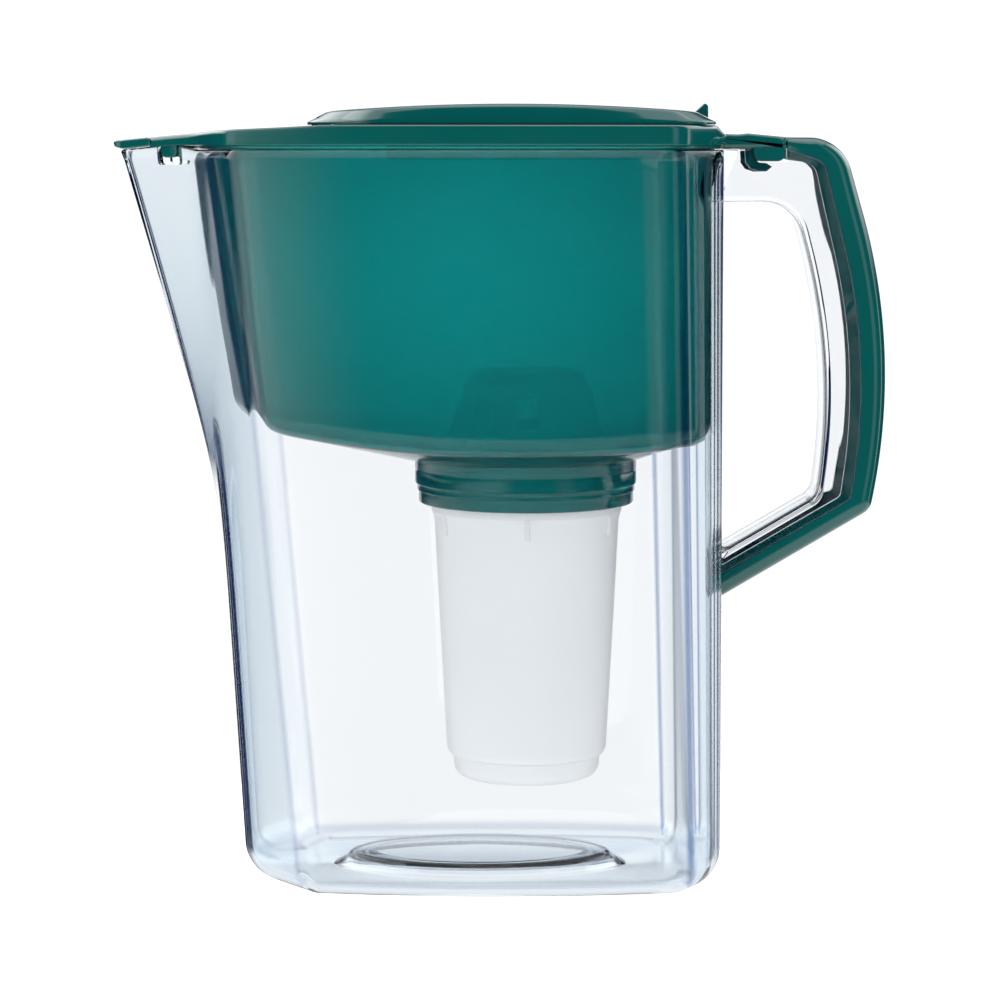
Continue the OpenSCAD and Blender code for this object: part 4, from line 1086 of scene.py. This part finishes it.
# ---------- Spout flap ----------
def flap():
    """Cross-sections from the nose to the barrel."""
    plan = inset(jug_plan(JUG_H), -LID_LIP)
    near = plan[(plan[:, 1] <= 0) & (plan[:, 0] < -90)]
    near = near[np.argsort(near[:, 0])]
    nose = TIP_X - LID_LIP - 1.4
    back = FLAP_X + FLAP_R
    xs = np.concatenate([nose + np.array([0, 0.12, 0.4, 0.8, 1.3]), np.linspace(nose + 2, FLAP_X, 14),
                         FLAP_X + FLAP_R * np.sin(np.radians([20, 40, 60, 75, 85, 90]))])
    rings = []
    for x in xs:
        half = max(np.interp(x, near[:, 0], -near[:, 1]), SPOUT_TIP_W / 2 + 0.4)
        half -= 2.2 * max(0, 1 - (x - nose) / 1.3) ** 2
        top = np.interp(x, [nose, nose + 0.3, TIP_X + 2, FLAP_X],
                        [LID_Z + 0.5, LID_Z + 1, LID_Z + 1.5, FLAP_TOP])
        low = np.interp(x, [nose, nose + 0.5, TIP_X + 1, FLAP_X],
                        [LID_Z + 0.2, LID_Z - 0.9, FLANGE_Z, FLAP_UNDER])
        if x > FLAP_X:
            reach = math.sqrt(max(FLAP_R ** 2 - (x - FLAP_X) ** 2, 0.0004))
            top, low = FLAP_Z + reach, FLAP_Z - reach
        r = min(0.55, (top - low) / 2.2)
        corners = [((half - r, top - r), 0), ((r - half, top - r), 90), ((r - half, low + r), 180),
                   ((half - r, low + r), 270)]
        section = np.vstack([arc(c, r, a, a + 90, 4) for c, a in corners])
        rings.append(np.column_stack([np.full(len(section), x), section]))
    shell = loft("flap_shell", rings, sharp=40)
    room = FLAP_LUG_W / 2 + FLAP_GAP
    tool = slab("room", [(FLAP_X - FLAP_R - FLAP_GAP, JUG_H - 1), (back + 1, JUG_H - 1), (back + 1, LID_TOP),
                         (FLAP_X - FLAP_R - FLAP_GAP, LID_TOP)], room)
    return finished(carved(shell, [tool], sharp=40), "green_plastic", "spout_flap", "spout_flap")


clear_jug()
handle_cover()
reservoir()
cartridge_cup()
base_cap()
lid()
flip_lid()
flap()

# CAD nodes whose shape is right keep it and get their material.
for part in frame["record"]["subparts"]:
    shown = frame["nodes"][part["node"]]
    for slot in shown.material_slots:
        slot.material = FINISHES[part["material_slot"]]

# ---------- Floor, light and view ----------
FLOOR_R, FLOOR_DROP, FLOOR_GLOW = 190, 0.2, 0.2
FLOOR_WHITE, FLOOR_SHADE = (0.93, 0.94, 0.95, 1), (0.90, 0.91, 0.92, 1)
SURROUND = (0.008, 0.02, 0.075, 1)
CARD_LIGHT, FILL_LIGHT, FAR_GLOW, LEFT_GLOW, RIGHT_GLOW = 1.12, 2.2, 2.4, 1.0, 0.5
STRIP_GLOW, BELOW_GLOW = 1.5, 0.9

# Each light begins over one range and ends over another. Turns are in radians from the viewer to the left or
# to the right, and the other ranges are shares of a direction's X, Y or Z.
LEVEL, LEVEL_END = (-0.45, -0.15), (0.7, 0.95)
LEFT_TURN, LEFT_END = (0.18, 0.62), (1.1, 1.5)
RIGHT_TURN, RIGHT_END = (0.5, 0.65), (0.8, 0.95)
STRIP_TURN, STRIP_END = (1.5, 1.58), (1.68, 1.76)
FAR_LEFT = (0.12, 0.4), (0.12, 0.4), (-0.25, 0.1)
FAR_RIGHT = (0.3, 0.6), (0.05, 0.3), (-0.1, 0.2)
CARD_AHEAD, BELOW_DOWN, ABOVE_UP, ABOVE_BACK = (0.915, 0.965), (0.25, 0.45), (0.35, 0.8), (0.2, 0.5)
FILL_FRONT, FILL_TOP = (-0.3, 0.8), (0.3, 0.9)
FILL_LEAST, FILL_GAIN, FILL_LEFT, FILL_TOP_LOSS = 0.55, 0.4, 0.12, 0.6


def floor():
    """A round table top, white to the eye. Refracted and mirrored rays pass it, so that its edge draws no
    line in the jug's walls."""
    bm = bmesh.new()
    bmesh.ops.create_circle(bm, cap_ends=True, radius=FLOOR_R, segments=96)
    plane = mesh_object("floor", bm)
    plane.location.z = -FLOOR_DROP * MM
    look = Finish("floor")
    tone = look.noise(3, 2)
    seen = look.node("ShaderNodeLightPath", out="Is Camera Ray")
    table = look.node("ShaderNodeBsdfPrincipled", None, {
        "Base Color": look.blend(tone, FLOOR_WHITE, FLOOR_SHADE), "Roughness": 0.8, "Specular IOR Level": 0.0,
        "Emission Color": (1, 1, 1, 1), "Emission Strength": seen * (1 - FLOOR_GLOW) + FLOOR_GLOW},
        out="BSDF")
    bent = (look.node("ShaderNodeLightPath", out="Transmission Depth")
            + look.node("ShaderNodeLightPath", out="Glossy Depth"))
    clear = look.node("ShaderNodeBsdfTransparent", out="BSDF")
    both = look.node("ShaderNodeMixShader", None,
                     {0: bent.calc("MINIMUM", bent, 1.0), 1: table, 2: clear}, out="Shader")
    look.tree.links.new(both.socket, look.output.inputs["Surface"])
    plane.data.materials.append(look.material)


def softbox(name, place, target, size, power):
    light = bpy.data.lights.new(name, "AREA")
    light.shape, light.size, light.size_y = "RECTANGLE", *size
    light.energy = power
    lamp = bpy.data.objects.new(name, light)
    lamp.location = place
    away = Matrix.Translation(place).translation - Matrix.Translation(target).translation
    lamp.rotation_euler = away.to_track_quat("Z", "Y").to_euler()
    bpy.context.scene.collection.objects.link(lamp)


def studio_world():
    """White to the eye. Through the clear walls and in the gloss it is a white card behind the object, a
    soft light above, one on each side in front, and dark blue between them."""
    world = bpy.data.worlds.new("studio")
    world.use_nodes = True
    tree = world.node_tree
    tree.nodes.clear()
    step = wired(tree)

    def rise(value, start, end):
        """0 below start, 1 above end, and smooth between them."""
        return step("ShaderNodeMapRange", {"interpolation_type": "SMOOTHSTEP"},
                    {"Value": value, "From Min": start, "From Max": end})

    def either(a, b):
        return a.calc("MAXIMUM", a, b)

    def band(value, start, end):
        """Rises over the range start and falls over the range end."""
        return rise(value, *start) * (1 - rise(value, *end))

    def far(side, ranges):
        """A light behind the object, on one side and above."""
        return rise(side, *ranges[0]) * rise(up, *ranges[1]) * rise(back, *ranges[2])

    right, back, up = axes_of(tree, step("ShaderNodeTexCoord", out="Generated"))
    turn = back.calc("ARCTAN2", 0 - right, 0 - back)    # 0 towards the viewer, rising to the left
    level = band(up, LEVEL, LEVEL_END)
    near_left = band(turn, LEFT_TURN, LEFT_END) * level * LEFT_GLOW
    near_right = band(0 - turn, RIGHT_TURN, RIGHT_END) * level * RIGHT_GLOW
    strip = band(0 - turn, STRIP_TURN, STRIP_END) * level * STRIP_GLOW
    ahead = back * math.cos(CAMERA_TILT) - up * math.sin(CAMERA_TILT)
    card = rise(ahead, *CARD_AHEAD)
    below = rise(0 - up, *BELOW_DOWN) * BELOW_GLOW
    above = rise(up, *ABOVE_UP) * rise(back, *ABOVE_BACK)
    top = either(far(0 - right, FAR_LEFT) * FAR_GLOW, either(far(right, FAR_RIGHT) * FAR_GLOW, above))
    sides = either(either(near_left, near_right), either(strip, below))
    scattered = step("ShaderNodeLightPath", out="Diffuse Depth")
    fill = scattered.calc("MINIMUM", scattered, 1.0)
    around = rise(0 - back, *FILL_FRONT) * FILL_GAIN + FILL_LEAST - right * FILL_LEFT
    soft = around * (1 - rise(up, *FILL_TOP) * FILL_TOP_LOSS) * FILL_LIGHT
    seen = step("ShaderNodeLightPath", out="Is Camera Ray")
    glossed = either(either(card, top), sides)
    strength = either(seen, glossed * (1 - fill) + soft * fill)
    colour = step("ShaderNodeMix", {"data_type": "RGBA"},
                  {0: strength.calc("MINIMUM", strength, 1.0), 6: SURROUND, 7: (1.0, 1.0, 1.0, 1)}, out=2)
    light = step("ShaderNodeBackground", None,
                 {"Color": colour, "Strength": strength.calc("MAXIMUM", strength, 1.0) * CARD_LIGHT})
    result = tree.nodes.new("ShaderNodeOutputWorld")
    tree.links.new(light.socket, result.inputs["Surface"])
    bpy.context.scene.world = world


floor()
studio_world()
softbox("overhead", (0.0, 0.1, 1.5), (0, 0, 0.1), (1.4, 1.0), 6)

scene = bpy.context.scene
scene.view_settings.view_transform = "Standard"
scene.cycles.max_bounces = 12
scene.cycles.transmission_bounces = 12
scene.cycles.glossy_bounces = 6
